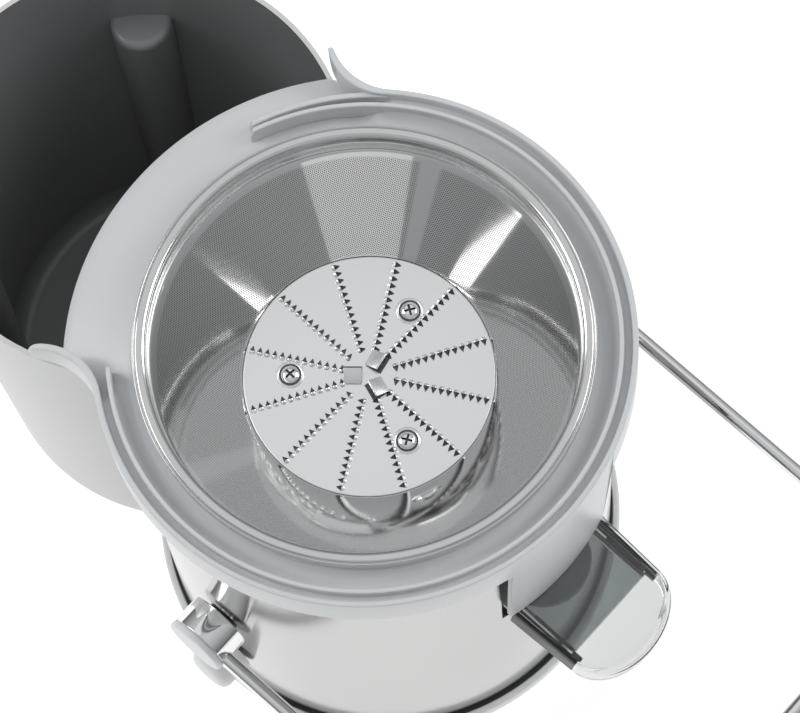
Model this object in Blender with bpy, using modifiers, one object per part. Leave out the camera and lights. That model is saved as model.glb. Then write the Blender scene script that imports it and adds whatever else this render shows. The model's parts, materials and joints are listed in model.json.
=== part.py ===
"""Centrifugal juicer with its lid off: bowl, sieve basket, grater disc, pulp bin, bail and motor base.

The spindle stands at x = SPINDLE_X. +X points along the spout, -X to the pulp bin, +Z is up, and the
rubber feet stand on z = 0. All sizes are in metres. Turned shapes are written as (radius, height).
"""

import math

import bmesh
import bpy
from mathutils import Matrix, Vector

# Fits
GAP = 0.0003              # between pieces that touch
RUN = 0.0010              # between pieces that move past each other

# Base and housing
FOOT_HEIGHT = 0.0040
FOOT_RADIUS = 0.0090
FOOT_INSET = 0.0078       # between a foot and the ring's bore
HOUSING_RADIUS = 0.0965
HOUSING_WALL = 0.0012
BASE_RING_PROUD = 0.0043  # how far the ring stands out of the housing
BASE_RING_HEIGHT = 0.0090
BASE_PLATE_THICKNESS = 0.0030
INLET_HEIGHT = 0.0260     # cord inlet above the table
INLET_RADIUS = 0.0060
CORD_RADIUS = 0.0036
DECK_HEIGHT = 0.1180
DECK_THICKNESS = 0.0030
DECK_BOSS_RADIUS = 0.0145
NOTCH_LOW = 0.1290        # lower edge of the housing's cut-out for the spout

# Motor
SHAFT_RADIUS = 0.0040
BEARING_RADIUS = 0.0100
STATOR_RADIUS = 0.0420
STATOR_LOW = 0.0500
STATOR_HEIGHT = 0.0450
COIL_OUTER_RADIUS = 0.0295
COIL_WIDTH = 0.0050
ROTOR_AIR_GAP = 0.0012
COMMUTATOR_RADIUS = 0.0110
BRUSH_SIZE = 0.0080
BRACKET_LOW = 0.0180
BRACKET_THICKNESS = 0.0040
FAN_RADIUS = 0.0340

# Bowl
RIM_HEIGHT = 0.2350       # table to the top of the basket's rolled rim
BOWL_RIM_RADIUS = 0.1049
BOWL_RIM_WALL = 0.0023
BOWL_RIM_DROP = 0.0015    # bowl rim below the basket rim
BOWL_BAND = 0.0185        # height of the outer band
GROOVE_WIDTH = 0.0031
GROOVE_DEPTH = 0.0049
RIB_WIDTH = 0.0020
CHAMBER_WALL = 0.0022
BOWL_FLOOR = 0.1470
FLOOR_THICKNESS = 0.0024
COLLAR_HEIGHT = 0.0230
CHUTE_REACH = 0.0131      # how far the chute's edge passes the bowl rim
CHUTE_DROP = 0.0187       # chute edge below the bowl rim
CHUTE_HALF_ANGLE = 41.0
EAR_START_ANGLE = 127.0
EAR_BEND_RADIUS = 0.0250
EAR_SWEEP = 72.0
RIB_END_FAR = 159.0
RIB_END_NEAR = -134.0
SKIRT_HALF_WIDTH = 0.0290
SKIRT_LOW = 0.1450
SKIRT_TAPER = 0.0034
CUP_RADIUS = 0.0195
CUP_PAST_SKIRT = 0.0080

# Spout
DUCT_HALF_WIDTH = 0.0213
DUCT_RAIL = 0.0030
DUCT_SKIN = 0.0016
DUCT_REACH = 0.1247
HOOD_SKIN = 0.0014
HOOD_TOP_SKIN = 0.0018
HOOD_TAPER = 0.0013
HOOD_NOSE = 0.0185
HOOD_STRAIGHT = 0.1285
SPOUT_SLOPE = 7.0         # degrees that the duct falls towards its nose
SPOUT_SIDE = 0.0011       # duct and hood sit this far off the middle, towards +Y

# Basket
BASKET_RADIUS = 0.0890
RIM_WIDTH = 0.0050
RIM_DEPTH = 0.0055
SIEVE_WALL = 0.0006
DISC_RADIUS = 0.0497
DISC_TOP = 0.1930
DISC_THICKNESS = 0.0012
TOOTH_ROWS = 12
TEETH_IN_ROW = 13
TOOTH_HEIGHT = 0.0012
TOOTH_WIDTH = 0.0022
TEETH_INNER_RADIUS = 0.0100
TEETH_OUTER_RADIUS = 0.0478
TOOTH_ROW_ANGLE = -1.5    # first row of teeth, from +X
SCREW_CIRCLE = 0.0310
SCREW_ANGLE = -19.3       # first screw, from +X
SCREW_HEAD_RADIUS = 0.0038
BASE_HUB_RADIUS = 0.0135
COUPLING_RADIUS = 0.0076

# Bail and knob
PIVOT_HEIGHT = 0.0990
ROD_RADIUS = 0.00325
HUB_RADIUS = 0.0135
HUB_LENGTH = 0.0163
HUB_STANDOFF = 0.0015     # housing wall to the hub's inner face
BAIL_LENGTH = 0.2000      # pivot to the middle of the cross bar
BAIL_SLOPE = 5.0          # degrees below level when lowered
BAIL_CORNER = 0.0300
ARM_CLEARANCE = 0.0005    # bail arm to the bowl rim it passes
PIN_RADIUS = 0.0040
BUSH_RADIUS = 0.0070
KNOB_HEIGHT = 0.0500
KNOB_RADIUS = 0.0105
KNOB_LENGTH = 0.0155

# Pulp bin
BIN_CENTRE = -0.1270      # centre of the round rim
BIN_RADIUS = 0.0880
BIN_LEAN = 0.0070         # how far the foot's centre lies nearer the spindle
BIN_DRAFT = 0.0060        # how much smaller the foot is than the rim, all round
BIN_TOP = 0.2070
BIN_FOOT = 0.0010
BIN_WALL = 0.0020
BIN_FOOT_ROUNDING = 0.0100
BIN_FRONT_TOP = 0.1990    # the wall against the housing stops lower, clear of the chute
GRIP_ANGLE = 134.0
GRIP_CENTRE = 0.0825      # from the bin's own centre line
GRIP_RADIUS = 0.0130
GRIP_TOP = 0.1650

# Derived places
BACK_REACH = BIN_RADIUS - BIN_CENTRE
BAIL_FRONT = BAIL_LENGTH * math.cos(math.radians(BAIL_SLOPE)) + ROD_RADIUS
SPINDLE_X = (BACK_REACH - BAIL_FRONT) / 2
BASE_PLATE_LOW = FOOT_HEIGHT + GAP
SHELL_LOW = BASE_RING_HEIGHT + GAP
SHELL_INNER = HOUSING_RADIUS - HOUSING_WALL
BOWL_TOP = RIM_HEIGHT - BOWL_RIM_DROP
BAND_LOW = BOWL_TOP - BOWL_BAND
RIM_INNER = BOWL_RIM_RADIUS - BOWL_RIM_WALL
GROOVE_INNER = RIM_INNER - GROOVE_WIDTH
GROOVE_FLOOR = BOWL_TOP - GROOVE_DEPTH
RIB_INNER = GROOVE_INNER - RIB_WIDTH
SHELF_LOW = BOWL_TOP - 0.0089
CHAMBER_OUTER = BASKET_RADIUS + 0.0002
CHAMBER_INNER = CHAMBER_OUTER - CHAMBER_WALL
SEAT_LOW = BAND_LOW + 0.0023
SHELL_TOP = SEAT_LOW - GAP
CHUTE_RADIUS = BOWL_RIM_RADIUS + CHUTE_REACH
CHUTE_EDGE = BOWL_TOP - CHUTE_DROP
COLLAR_INNER = DECK_BOSS_RADIUS + 0.0017
COLLAR_OUTER = COLLAR_INNER + CHAMBER_WALL
SKIRT_RADIUS = BOWL_RIM_RADIUS - SKIRT_TAPER
CUP_X = SKIRT_RADIUS + CUP_PAST_SKIRT - CUP_RADIUS
HOOD_TOP = SKIRT_LOW - 0.0008
DUCT_TOP = HOOD_TOP - HOOD_TOP_SKIN - 0.0004
DUCT_LOW = NOTCH_LOW + 0.0015
SPOUT_FALL = math.tan(math.radians(SPOUT_SLOPE))
CUP_TOP = DUCT_TOP - SPOUT_FALL * (CUP_X + CUP_RADIUS - HOUSING_RADIUS)
CUP_LOW = DUCT_LOW + DUCT_SKIN + 0.0008 + SPOUT_FALL * (HOUSING_RADIUS + CUP_RADIUS - CUP_X)
DUCT_OUTER = DUCT_HALF_WIDTH + DUCT_RAIL
HOOD_HALF_WIDTH = DUCT_OUTER + HOOD_SKIN + HOOD_TAPER + 0.00035
HOOD_BACK = SKIRT_RADIUS - 0.0045
ARM_Y = BOWL_RIM_RADIUS + ROD_RADIUS + ARM_CLEARANCE
HUB_INNER_Y = HOUSING_RADIUS + HUB_STANDOFF
BIN_HUG_RADIUS = HOUSING_RADIUS + BASE_RING_PROUD + RUN
RIM_LOW = RIM_HEIGHT - RIM_DEPTH
RIM_BORE = BASKET_RADIUS - RIM_WIDTH
DISC_LOW = DISC_TOP - DISC_THICKNESS
BASE_TOP = DISC_LOW - GAP
COUPLING_LOW = BOWL_FLOOR + 0.0110
COUPLING_HIGH = COUPLING_LOW + 0.0140

parts = None
cutters = None
spindle = None


def clear_scene():
    for item in list(bpy.data.objects):
        bpy.data.objects.remove(item, do_unlink=True)


def make_collection(name):
    collection = bpy.data.collections.new(name)
    bpy.context.scene.collection.children.link(collection)
    return collection


def make_material(name, colour, roughness, metallic=0.0):
    material = bpy.data.materials.new(name)
    material.use_nodes = True
    shader = material.node_tree.nodes["Principled BSDF"]
    shader.inputs["Base Color"].default_value = (*colour, 1.0)
    shader.inputs["Roughness"].default_value = roughness
    shader.inputs["Metallic"].default_value = metallic
    return material


def make_axis(name, place):
    """An empty on a joint's axis, which the pieces that turn or slide together hang from."""
    axis = bpy.data.objects.new(name, None)
    axis.empty_display_size = 0.02
    axis.location = place
    parts.objects.link(axis)
    if spindle is not None:
        axis.parent = spindle
    return axis


def place(name, mesh, material, parent=None):
    piece = bpy.data.objects.new(name, mesh)
    parts.objects.link(piece)
    piece.parent = parent or spindle
    if material is not None:
        mesh.materials.append(material)
    return piece


def as_tool(piece):
    """Turns a piece into a cutter, or into material that another piece is joined with."""
    parts.objects.unlink(piece)
    cutters.objects.link(piece)
    piece.hide_render = True
    piece.display_type = "WIRE"
    return piece


def combine(target, tool, operation="DIFFERENCE"):
    modifier = target.modifiers.new(tool.name, "BOOLEAN")
    modifier.operation = operation
    modifier.solver = "EXACT"
    modifier.object = tool


def cut(target, tool):
    combine(target, tool, "DIFFERENCE")


def join(target, tool):
    combine(target, tool, "UNION")


def keep_inside(target, tool):
    combine(target, tool, "INTERSECT")


def smooth(mesh, angle=35.0):
    mesh.shade_smooth()
    mesh.set_sharp_from_angle(angle=math.radians(angle))


def turned(name, profile, material=None, steps=64, parent=None):
    """Turns a profile about Z. One that starts and ends on the axis stays open, any other is a ring."""
    closes_on_axis = profile[0][0] == 0 and profile[-1][0] == 0
    mesh = bpy.data.meshes.new(name)
    count = len(profile)
    edges = [(i, i + 1) for i in range(count - 1)]
    if not closes_on_axis:
        edges.append((count - 1, 0))
    mesh.from_pydata([(radius, 0, height) for radius, height in profile], edges, [])
    piece = place(name, mesh, material, parent)
    screw = piece.modifiers.new("turn", "SCREW")
    screw.steps = steps
    screw.render_steps = steps
    screw.use_merge_vertices = True
    screw.merge_threshold = 0.00001
    screw.use_smooth_shade = True
    return piece


def ring_profile(inner, outer, low, high):
    return [(outer, high), (outer, low), (inner, low), (inner, high)]


def cylinder(name, radius, low, high, material=None, parent=None, steps=48, bevel=0.0):
    mesh = bpy.data.meshes.new(name)
    shape = bmesh.new()
    bmesh.ops.create_cone(shape, cap_ends=True, segments=steps, radius1=radius, radius2=radius,
        depth=high - low,
                          matrix=Matrix.Translation((0, 0, (low + high) / 2)))
    shape.to_mesh(mesh)
    shape.free()
    smooth(mesh)
    piece = place(name, mesh, material, parent)
    if bevel > 0:
        rounding = piece.modifiers.new("edges", "BEVEL")
        rounding.width = bevel
        rounding.segments = 1
        rounding.limit_method = "ANGLE"
    return piece


def box(name, low, high, material=None, parent=None, bevel=0.0):
    mesh = bpy.data.meshes.new(name)
    shape = bmesh.new()
    bmesh.ops.create_cube(shape, size=1.0)
    size = Vector(high) - Vector(low)
    middle = (Vector(high) + Vector(low)) / 2
    bmesh.ops.transform(shape, matrix=Matrix.Translation(middle) @ Matrix.Diagonal((*size, 1)),
        verts=shape.verts)
    shape.to_mesh(mesh)
    shape.free()
    piece = place(name, mesh, material, parent)
    if bevel > 0:
        rounding = piece.modifiers.new("edges", "BEVEL")
        rounding.width = bevel
        rounding.segments = 2
    return piece


def meshed(curve_object, material):
    """The closed mesh of a curve, in place of the curve."""
    bpy.context.view_layer.update()
    graph = bpy.context.evaluated_depsgraph_get()
    mesh = bpy.data.meshes.new_from_object(curve_object.evaluated_get(graph))
    shape = bmesh.new()
    shape.from_mesh(mesh)
    bmesh.ops.remove_doubles(shape, verts=shape.verts, dist=0.000005)
    bmesh.ops.dissolve_limit(shape, angle_limit=0.001, verts=shape.verts, edges=shape.edges)
    bmesh.ops.recalc_face_normals(shape, faces=shape.faces)
    shape.to_mesh(mesh)
    shape.free()
    name = curve_object.name
    matrix = curve_object.matrix_world.copy()
    parent = curve_object.parent
    bpy.data.objects.remove(curve_object, do_unlink=True)
    piece = place(name, mesh, material, parent)
    bpy.context.view_layer.update()
    piece.matrix_world = matrix
    return piece


def outline_solid(name, points, low, high, material=None, parent=None):
    """A flat outline in XY, with its body between two heights."""
    data = bpy.data.curves.new(name, "CURVE")
    data.dimensions = "2D"
    data.fill_mode = "BOTH"
    data.extrude = (high - low) / 2
    line = data.splines.new("POLY")
    line.points.add(len(points) - 1)
    for point, (x, y) in zip(line.points, points):
        point.co = (x, y, 0, 1)
    line.use_cyclic_u = True
    shape = bpy.data.objects.new(name, data)
    parts.objects.link(shape)
    shape.parent = parent or spindle
    shape.location = (0, 0, (low + high) / 2)
    return meshed(shape, material)


def arc(centre, radius, start, end, steps):
    """Points on an arc in XY, angles in degrees from +X."""
    points = []
    for step in range(steps + 1):
        angle = math.radians(start + (end - start) * step / steps)
        points.append((centre[0] + radius * math.cos(angle), centre[1] + radius * math.sin(angle)))
    return points


def wedge(name, start, end, low, high, reach=0.2):
    """A slice of pie about the spindle, for keeping a sector of a turned shape."""
    return as_tool(outline_solid(name, [(0, 0)] + arc((0, 0), reach, start, end, 24), low, high))


def along_y(piece, side):
    """Lays a shape turned about Z along Y, with its top end pointing outwards on that side."""
    piece.rotation_euler = (-side * math.pi / 2, 0, 0)
    return piece


# Housing and base

def make_housing(steel):
    shell = turned("housing_shell", ring_profile(SHELL_INNER, HOUSING_RADIUS, SHELL_LOW, SHELL_TOP),
        steel, 72)
    half = SKIRT_HALF_WIDTH + 0.0015
    low = SHELL_INNER - 0.0153
    high = HOUSING_RADIUS + 0.0135
    notch = box("spout_notch", (low - 0.03, -half, NOTCH_LOW), (high + 0.04, half, SHELL_TOP + 0.01))
    cut(shell, as_tool(notch))
    pivots = cylinder("pivot_holes", BUSH_RADIUS + GAP, -high, high, steps=32)
    pivots.location = (0, 0, PIVOT_HEIGHT)
    cut(shell, as_tool(along_y(pivots, 1)))
    stem = cylinder("knob_hole", PIN_RADIUS, low, high, steps=24)
    stem.location = (0, 0, KNOB_HEIGHT)
    cut(shell, as_tool(along_y(stem, -1)))
    inlet = cylinder("inlet_hole", INLET_RADIUS + GAP, low, high, steps=24)
    inlet.location = (0, 0, INLET_HEIGHT)
    inlet.rotation_euler = (0, math.pi / 2, math.radians(90))
    cut(shell, as_tool(inlet))
    return shell


def make_base(plastic, rubber):
    outer = HOUSING_RADIUS + BASE_RING_PROUD
    inner = SHELL_INNER - 0.0005
    top = BASE_RING_HEIGHT
    turned("base_ring", [(outer - 0.0008, top), (outer, top - 0.0008), (outer, 0.0025), (inner, 0.0025),
                         (inner, top)], plastic, 72)
    plate_radius = inner - GAP
    plate = cylinder("base_plate", plate_radius, BASE_PLATE_LOW, BASE_PLATE_LOW + BASE_PLATE_THICKNESS,
        plastic)
    for index in range(8):
        slot = box(f"vent_{index + 1}", (0.030, -0.002, 0), (0.055, 0.002, 0.02))
        slot.rotation_euler = (0, 0, math.radians(22.5 + 45 * index))
        cut(plate, as_tool(slot))
    for index in range(4):
        angle = math.radians(45 + 90 * index)
        foot = turned(f"foot_{index + 1}", [(0, FOOT_HEIGHT), (FOOT_RADIUS, FOOT_HEIGHT),
                                            (FOOT_RADIUS - 0.001, 0), (0, 0)], rubber, 24)
        reach = inner - FOOT_INSET - FOOT_RADIUS
        foot.location = (reach * math.cos(angle), reach * math.sin(angle), 0)
    low = SHELL_INNER - 0.0053
    high = HOUSING_RADIUS + 0.0035
    gland = turned("cord_gland", [(0.0085, high), (0.0085, HOUSING_RADIUS + GAP),
                                  (INLET_RADIUS, HOUSING_RADIUS + GAP), (INLET_RADIUS, low),
                                  (CORD_RADIUS, low), (CORD_RADIUS, high)], rubber, 24)
    gland.location = (0, 0, INLET_HEIGHT)
    gland.rotation_euler = (0, math.pi / 2, math.radians(90))


def make_deck(plastic, steel, rubber):
    outer = SHELL_INNER - GAP
    high = DECK_HEIGHT + DECK_THICKNESS
    boss_top = BOWL_FLOOR + 0.003
    bore = BEARING_RADIUS + GAP
    turned("motor_deck", [(DECK_BOSS_RADIUS - 0.001, boss_top), (DECK_BOSS_RADIUS, boss_top - 0.001),
                          (DECK_BOSS_RADIUS, high), (outer, high), (outer, DECK_HEIGHT),
                          (bore, DECK_HEIGHT),
                          (bore, boss_top)], plastic, 48)
    shaft_bore = SHAFT_RADIUS + GAP
    turned("upper_bearing", ring_profile(shaft_bore, BEARING_RADIUS, DECK_HEIGHT + 0.004,
        DECK_HEIGHT + 0.012),
           steel, 32)
    turned("shaft_seal", ring_profile(shaft_bore, BEARING_RADIUS, boss_top - 0.008, boss_top - 0.002),
        rubber, 32)


# Motor

def make_stator(laminations, copper, zinc, steel, carbon, brass):
    high = STATOR_LOW + STATOR_HEIGHT
    turned("stator_core", ring_profile(COIL_OUTER_RADIUS + GAP, STATOR_RADIUS, STATOR_LOW, high),
        laminations, 48)
    for index in range(2):
        middle = 90 + 180 * index
        inner = COIL_OUTER_RADIUS - COIL_WIDTH
        points = arc((0, 0), COIL_OUTER_RADIUS, middle - 68, middle + 68, 16)
        points += arc((0, 0), inner, middle + 68, middle - 68, 16)
        outline_solid(f"field_coil_{index + 1}", points, STATOR_LOW - 0.006, high + 0.006, copper)
    shaft_bore = SHAFT_RADIUS + GAP
    bearing_low = BRACKET_LOW - 0.002
    turned("lower_bearing", ring_profile(shaft_bore, BEARING_RADIUS, bearing_low, bearing_low + 0.008),
        steel, 32)
    bolt_x = STATOR_RADIUS + 0.004
    reach = bolt_x + 0.006
    bracket_high = BRACKET_LOW + BRACKET_THICKNESS
    bracket = box("lower_bracket", (-reach, -0.014, BRACKET_LOW), (reach, 0.014, bracket_high), zinc)
    seat = cylinder("bearing_seat", BEARING_RADIUS + GAP, 0, 0.1, steps=32)
    cut(bracket, as_tool(seat))
    for index, side in enumerate((-1, 1)):
        bolt = cylinder(f"motor_bolt_{index + 1}", 0.002, bracket_high + GAP, DECK_HEIGHT - GAP, steel,
            steps=12)
        bolt.location = (side * bolt_x, 0, 0)
        make_brush(index + 1, side, carbon, brass)


def make_brush(number, side, carbon, brass):
    middle = STATOR_LOW - 0.015
    half = BRUSH_SIZE / 2
    start = COMMUTATOR_RADIUS + GAP
    turn = (0, 0, 0 if side > 0 else math.pi)
    brush = box(f"carbon_brush_{number}", (start, -half, middle - half),
        (start + 0.016, half, middle + half), carbon)
    brush.rotation_euler = turn
    inner = half + GAP
    outer = inner + 0.0012
    near = start + 0.003
    far = near + 0.022
    holder = box(f"brush_holder_{number}", (near, -outer, middle - outer), (far, outer, middle + outer),
        brass)
    bore = box(f"brush_bore_{number}", (near - 0.01, -inner, middle - inner),
        (far + 0.01, inner, middle + inner))
    cut(holder, as_tool(bore))
    holder.rotation_euler = turn
    bore.rotation_euler = turn


def make_rotor(steel, laminations, copper, plastic, rubber):
    cylinder("motor_shaft", SHAFT_RADIUS, BRACKET_LOW - 0.004, COUPLING_LOW + 0.006, steel, steps=24)
    bore = SHAFT_RADIUS + GAP
    rotor_radius = COIL_OUTER_RADIUS - COIL_WIDTH - ROTOR_AIR_GAP
    low = STATOR_LOW + 0.002
    high = STATOR_LOW + STATOR_HEIGHT - 0.002
    turned("armature_core", ring_profile(bore, rotor_radius, low, high), laminations, 48)
    turned("commutator", ring_profile(bore, COMMUTATOR_RADIUS, STATOR_LOW - 0.022, STATOR_LOW - 0.008),
        copper, 32)
    fan_low = STATOR_LOW + STATOR_HEIGHT + 0.009
    fan = turned("cooling_fan", ring_profile(bore, FAN_RADIUS, fan_low, fan_low + 0.0015), plastic, 48)
    for index in range(8):
        blade = box(f"fan_blade_{index + 1}", (0.010, -0.0006, fan_low + 0.001),
            (FAN_RADIUS - 0.001, 0.0006,
                                                                                fan_low + 0.008))
        blade.rotation_euler = (0, 0, math.radians(45 * index))
        join(fan, as_tool(blade))
    coupling = cylinder("drive_coupling", COUPLING_RADIUS, COUPLING_LOW, COUPLING_HIGH, rubber, steps=6)
    socket = cylinder("coupling_bore", bore, COUPLING_LOW - 0.01, COUPLING_LOW + 0.0065, steps=24)
    cut(coupling, as_tool(socket))


def make_electrics(plastic, dark):
    back = SHELL_INNER - 0.003
    box("rotary_switch", (-0.011, -back, KNOB_HEIGHT - 0.011),
        (0.011, -back + 0.020, KNOB_HEIGHT + 0.011), dark,
        bevel=0.001)
    wall = SHELL_INNER
    box("interlock_switch", (0.012, wall - 0.0253, PIVOT_HEIGHT - 0.006),
        (0.034, wall - 0.0143, PIVOT_HEIGHT + 0.006), dark, bevel=0.0008)
    plate_top = BASE_PLATE_LOW + BASE_PLATE_THICKNESS + GAP
    capacitor = cylinder("noise_capacitor", 0.008, plate_top, plate_top + 0.026, plastic, steps=20)
    capacitor.location = (0.030, 0.058, 0)
    box("terminal_block", (-0.030, 0.050, plate_top), (0.004, 0.062, plate_top + 0.012), plastic,
        bevel=0.0008)


# Bowl

def bowl_body_profile():
    floor_top = BOWL_FLOOR + FLOOR_THICKNESS
    outer = GROOVE_INNER - 0.0013
    return [
        (outer, GROOVE_FLOOR + 0.0009), (outer, SEAT_LOW), (SHELL_INNER - 0.0017, SEAT_LOW),
        (SHELL_INNER - 0.0021, SHELF_LOW - 0.0024), (CHAMBER_OUTER + 0.0004, SHELF_LOW - 0.0036),
        (CHAMBER_OUTER, SHELF_LOW - 0.0056), (CHAMBER_OUTER, BOWL_FLOOR + 0.005),
        (CHAMBER_OUTER - 0.0016, BOWL_FLOOR + 0.0012), (CHAMBER_OUTER - 0.005, BOWL_FLOOR),
        (COLLAR_INNER, BOWL_FLOOR), (COLLAR_INNER, BOWL_FLOOR + COLLAR_HEIGHT),
        (COLLAR_OUTER, BOWL_FLOOR + COLLAR_HEIGHT), (COLLAR_OUTER, floor_top),
        (CHAMBER_OUTER - 0.005, floor_top), (CHAMBER_INNER - 0.0008, floor_top + 0.0022),
        (CHAMBER_INNER, floor_top + 0.0046), (CHAMBER_INNER, SHELF_LOW + 0.0012),
        (CHAMBER_INNER + 0.0006, SHELF_LOW + 0.0023), (CHAMBER_INNER + 0.0016, SHELF_LOW + 0.0023),
        (CHAMBER_OUTER + 0.0004, SHELF_LOW + 0.0008), (CHAMBER_OUTER + 0.0023, SHELF_LOW),
        (CHAMBER_OUTER + 0.0053, SHELF_LOW + 0.0010), (CHAMBER_OUTER + 0.0074, SHELF_LOW + 0.0028),
        (RIB_INNER, GROOVE_FLOOR + 0.0005),
    ]


def rib_profile():
    top = BOWL_TOP - 0.0007
    return [(GROOVE_INNER - 0.0005, top), (GROOVE_INNER, top - 0.0005),
        (GROOVE_INNER, GROOVE_FLOOR - 0.002),
            (RIB_INNER + 0.0003, GROOVE_FLOOR - 0.002), (RIB_INNER, GROOVE_FLOOR),
            (RIB_INNER, top - 0.0005),
            (RIB_INNER + 0.0005, top)]


def chute_line(radius):
    """Height of the chute's upper face, which falls from the shelf to the turned-down edge."""
    start = CHAMBER_OUTER + 0.0022
    return SHELF_LOW + (CHUTE_EDGE + 0.0012 - SHELF_LOW) * (radius - start) / (CHUTE_RADIUS - start)


def make_chute(bowl):
    inside = CHAMBER_OUTER + 0.0022
    past = CHUTE_RADIUS + 0.004
    clearing = turned("chute_clearing", [(past, BOWL_TOP + 0.01), (past, chute_line(past)),
                                         (inside, chute_line(inside)), (inside, BOWL_TOP + 0.01)])
    start = 180 - CHUTE_HALF_ANGLE
    end = 180 + CHUTE_HALF_ANGLE
    keep_inside(clearing, wedge("clearing_sector", start, end, 0.1, 0.3))
    cut(bowl, as_tool(clearing))
    low_edge = CHUTE_EDGE - 0.0008
    back = GROOVE_INNER - 0.0020
    skin = 0.0022
    drop = 0.00005
    chute = turned("chute_plate", [
        (CHUTE_RADIUS - 0.0010, chute_line(CHUTE_RADIUS - 0.0010) - drop), (CHUTE_RADIUS, low_edge + 0.001),
        (CHUTE_RADIUS, low_edge), (CHUTE_RADIUS - 0.0018, low_edge),
        (back, chute_line(back) - skin), (back, chute_line(back) - drop)])
    keep_inside(chute, wedge("chute_sector", start, end, 0.1, 0.3))
    join(bowl, as_tool(chute))


def make_rim_wall(bowl):
    """The bowl's outer wall, whose two ends swing out as ears beside the chute."""
    middle = BOWL_RIM_RADIUS - BOWL_RIM_WALL / 2
    half = BOWL_RIM_WALL / 2
    reach = middle + EAR_BEND_RADIUS
    start = math.radians(EAR_START_ANGLE)
    far = (reach * math.cos(start), reach * math.sin(start))
    near = (far[0], -far[1])
    low_angle = EAR_START_ANGLE + 180
    outer = arc(far, EAR_BEND_RADIUS - half, low_angle - EAR_SWEEP, low_angle, 10)
    outer += arc((0, 0), BOWL_RIM_RADIUS, EAR_START_ANGLE, -EAR_START_ANGLE, 72)[1:]
    outer += arc(near, EAR_BEND_RADIUS - half, -low_angle, -low_angle + EAR_SWEEP, 10)[1:]
    inner = arc(near, EAR_BEND_RADIUS + half, -low_angle + EAR_SWEEP, -low_angle, 10)
    inner += arc((0, 0), RIM_INNER, -EAR_START_ANGLE, EAR_START_ANGLE, 72)[1:]
    inner += arc(far, EAR_BEND_RADIUS + half, low_angle, low_angle - EAR_SWEEP, 10)[1:]
    join(bowl, as_tool(outline_solid("rim_wall", outer + inner, BAND_LOW, BOWL_TOP)))
    groove = turned("groove_floor", ring_profile(GROOVE_INNER - 0.0007, RIM_INNER + 0.0006,
        GROOVE_FLOOR - 0.0021,
                                                 GROOVE_FLOOR))
    keep_inside(groove, wedge("groove_sector", 0.8 - EAR_START_ANGLE, EAR_START_ANGLE - 0.8, 0.1, 0.3))
    join(bowl, as_tool(groove))
    rib = turned("inner_rib", rib_profile())
    keep_inside(rib, wedge("rib_sector", RIB_END_NEAR, RIB_END_FAR, 0.1, 0.3))
    join(bowl, as_tool(rib))


def make_skirt(bowl):
    """The front of the bowl, which hangs down over the spout, and the cup that empties into it."""
    wall = 0.0024
    high = BAND_LOW + 0.002
    skirt = turned("skirt_wall", [(BOWL_RIM_RADIUS - 0.0003, high), (SKIRT_RADIUS, SKIRT_LOW),
                                  (SKIRT_RADIUS - wall, SKIRT_LOW),
                                  (BOWL_RIM_RADIUS - wall - 0.0004, high)], steps=72)
    front = box("skirt_front", (0.05, -SKIRT_HALF_WIDTH, 0.1), (0.15, SKIRT_HALF_WIDTH, 0.3))
    keep_inside(skirt, as_tool(front))
    join(bowl, as_tool(skirt))
    for index, side in enumerate((-1, 1)):
        inner = side * (SKIRT_HALF_WIDTH - wall)
        outer = side * (SKIRT_HALF_WIDTH - 0.0001)
        back = math.sqrt(CHAMBER_INNER ** 2 - SKIRT_HALF_WIDTH ** 2) + 0.001
        front_x = math.sqrt((SKIRT_RADIUS - wall / 2) ** 2 - SKIRT_HALF_WIDTH ** 2)
        cheek = box(f"skirt_cheek_{index + 1}", (back, min(inner, outer), SKIRT_LOW + 0.0001),
                    (front_x, max(inner, outer), SEAT_LOW + 0.004))
        join(bowl, as_tool(cheek))
    tray = turned("skirt_tray", [(SKIRT_RADIUS - wall / 2, SKIRT_LOW + wall),
        (SKIRT_RADIUS - wall / 2, SKIRT_LOW + 0.0002),
                                 (CHAMBER_INNER - 0.006, SKIRT_LOW + 0.0002),
                                 (CHAMBER_INNER - 0.006, SKIRT_LOW + wall)])
    tray_front = box("tray_front", (0.05, -SKIRT_HALF_WIDTH + 0.001, 0.1),
        (0.15, SKIRT_HALF_WIDTH - 0.001, 0.3))
    keep_inside(tray, as_tool(tray_front))
    join(bowl, as_tool(tray))
    cup = cylinder("outlet_cup", CUP_RADIUS, CUP_LOW, CUP_TOP, steps=40)
    cup.location = (CUP_X, 0, 0)
    join(bowl, as_tool(cup))
    neck_front = HOOD_BACK - RUN
    neck_half = CUP_RADIUS - 0.0035
    neck = box("cup_neck", (CUP_X - 0.018, -neck_half, CUP_TOP - 0.002),
        (neck_front, neck_half, SKIRT_LOW + wall - 0.0003))
    join(bowl, as_tool(neck))
    hollow = cylinder("cup_hollow", CUP_RADIUS - 0.0022, CUP_LOW - 0.005, CUP_TOP - 0.0018, steps=40)
    hollow.location = (CUP_X, 0, 0)
    cut(bowl, as_tool(hollow))
    drain_half = neck_half - 0.002
    drain = box("drain", (CUP_X - 0.0155, -drain_half, CUP_TOP - 0.003), (neck_front - 0.0022, drain_half,
                                                                        BOWL_FLOOR + 0.009))
    cut(bowl, as_tool(drain))


def make_bowl(plastic):
    bowl = turned("juice_bowl", bowl_body_profile(), plastic, 64)
    make_rim_wall(bowl)
    make_chute(bowl)
    make_skirt(bowl)
    return bowl


# Spout

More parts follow.
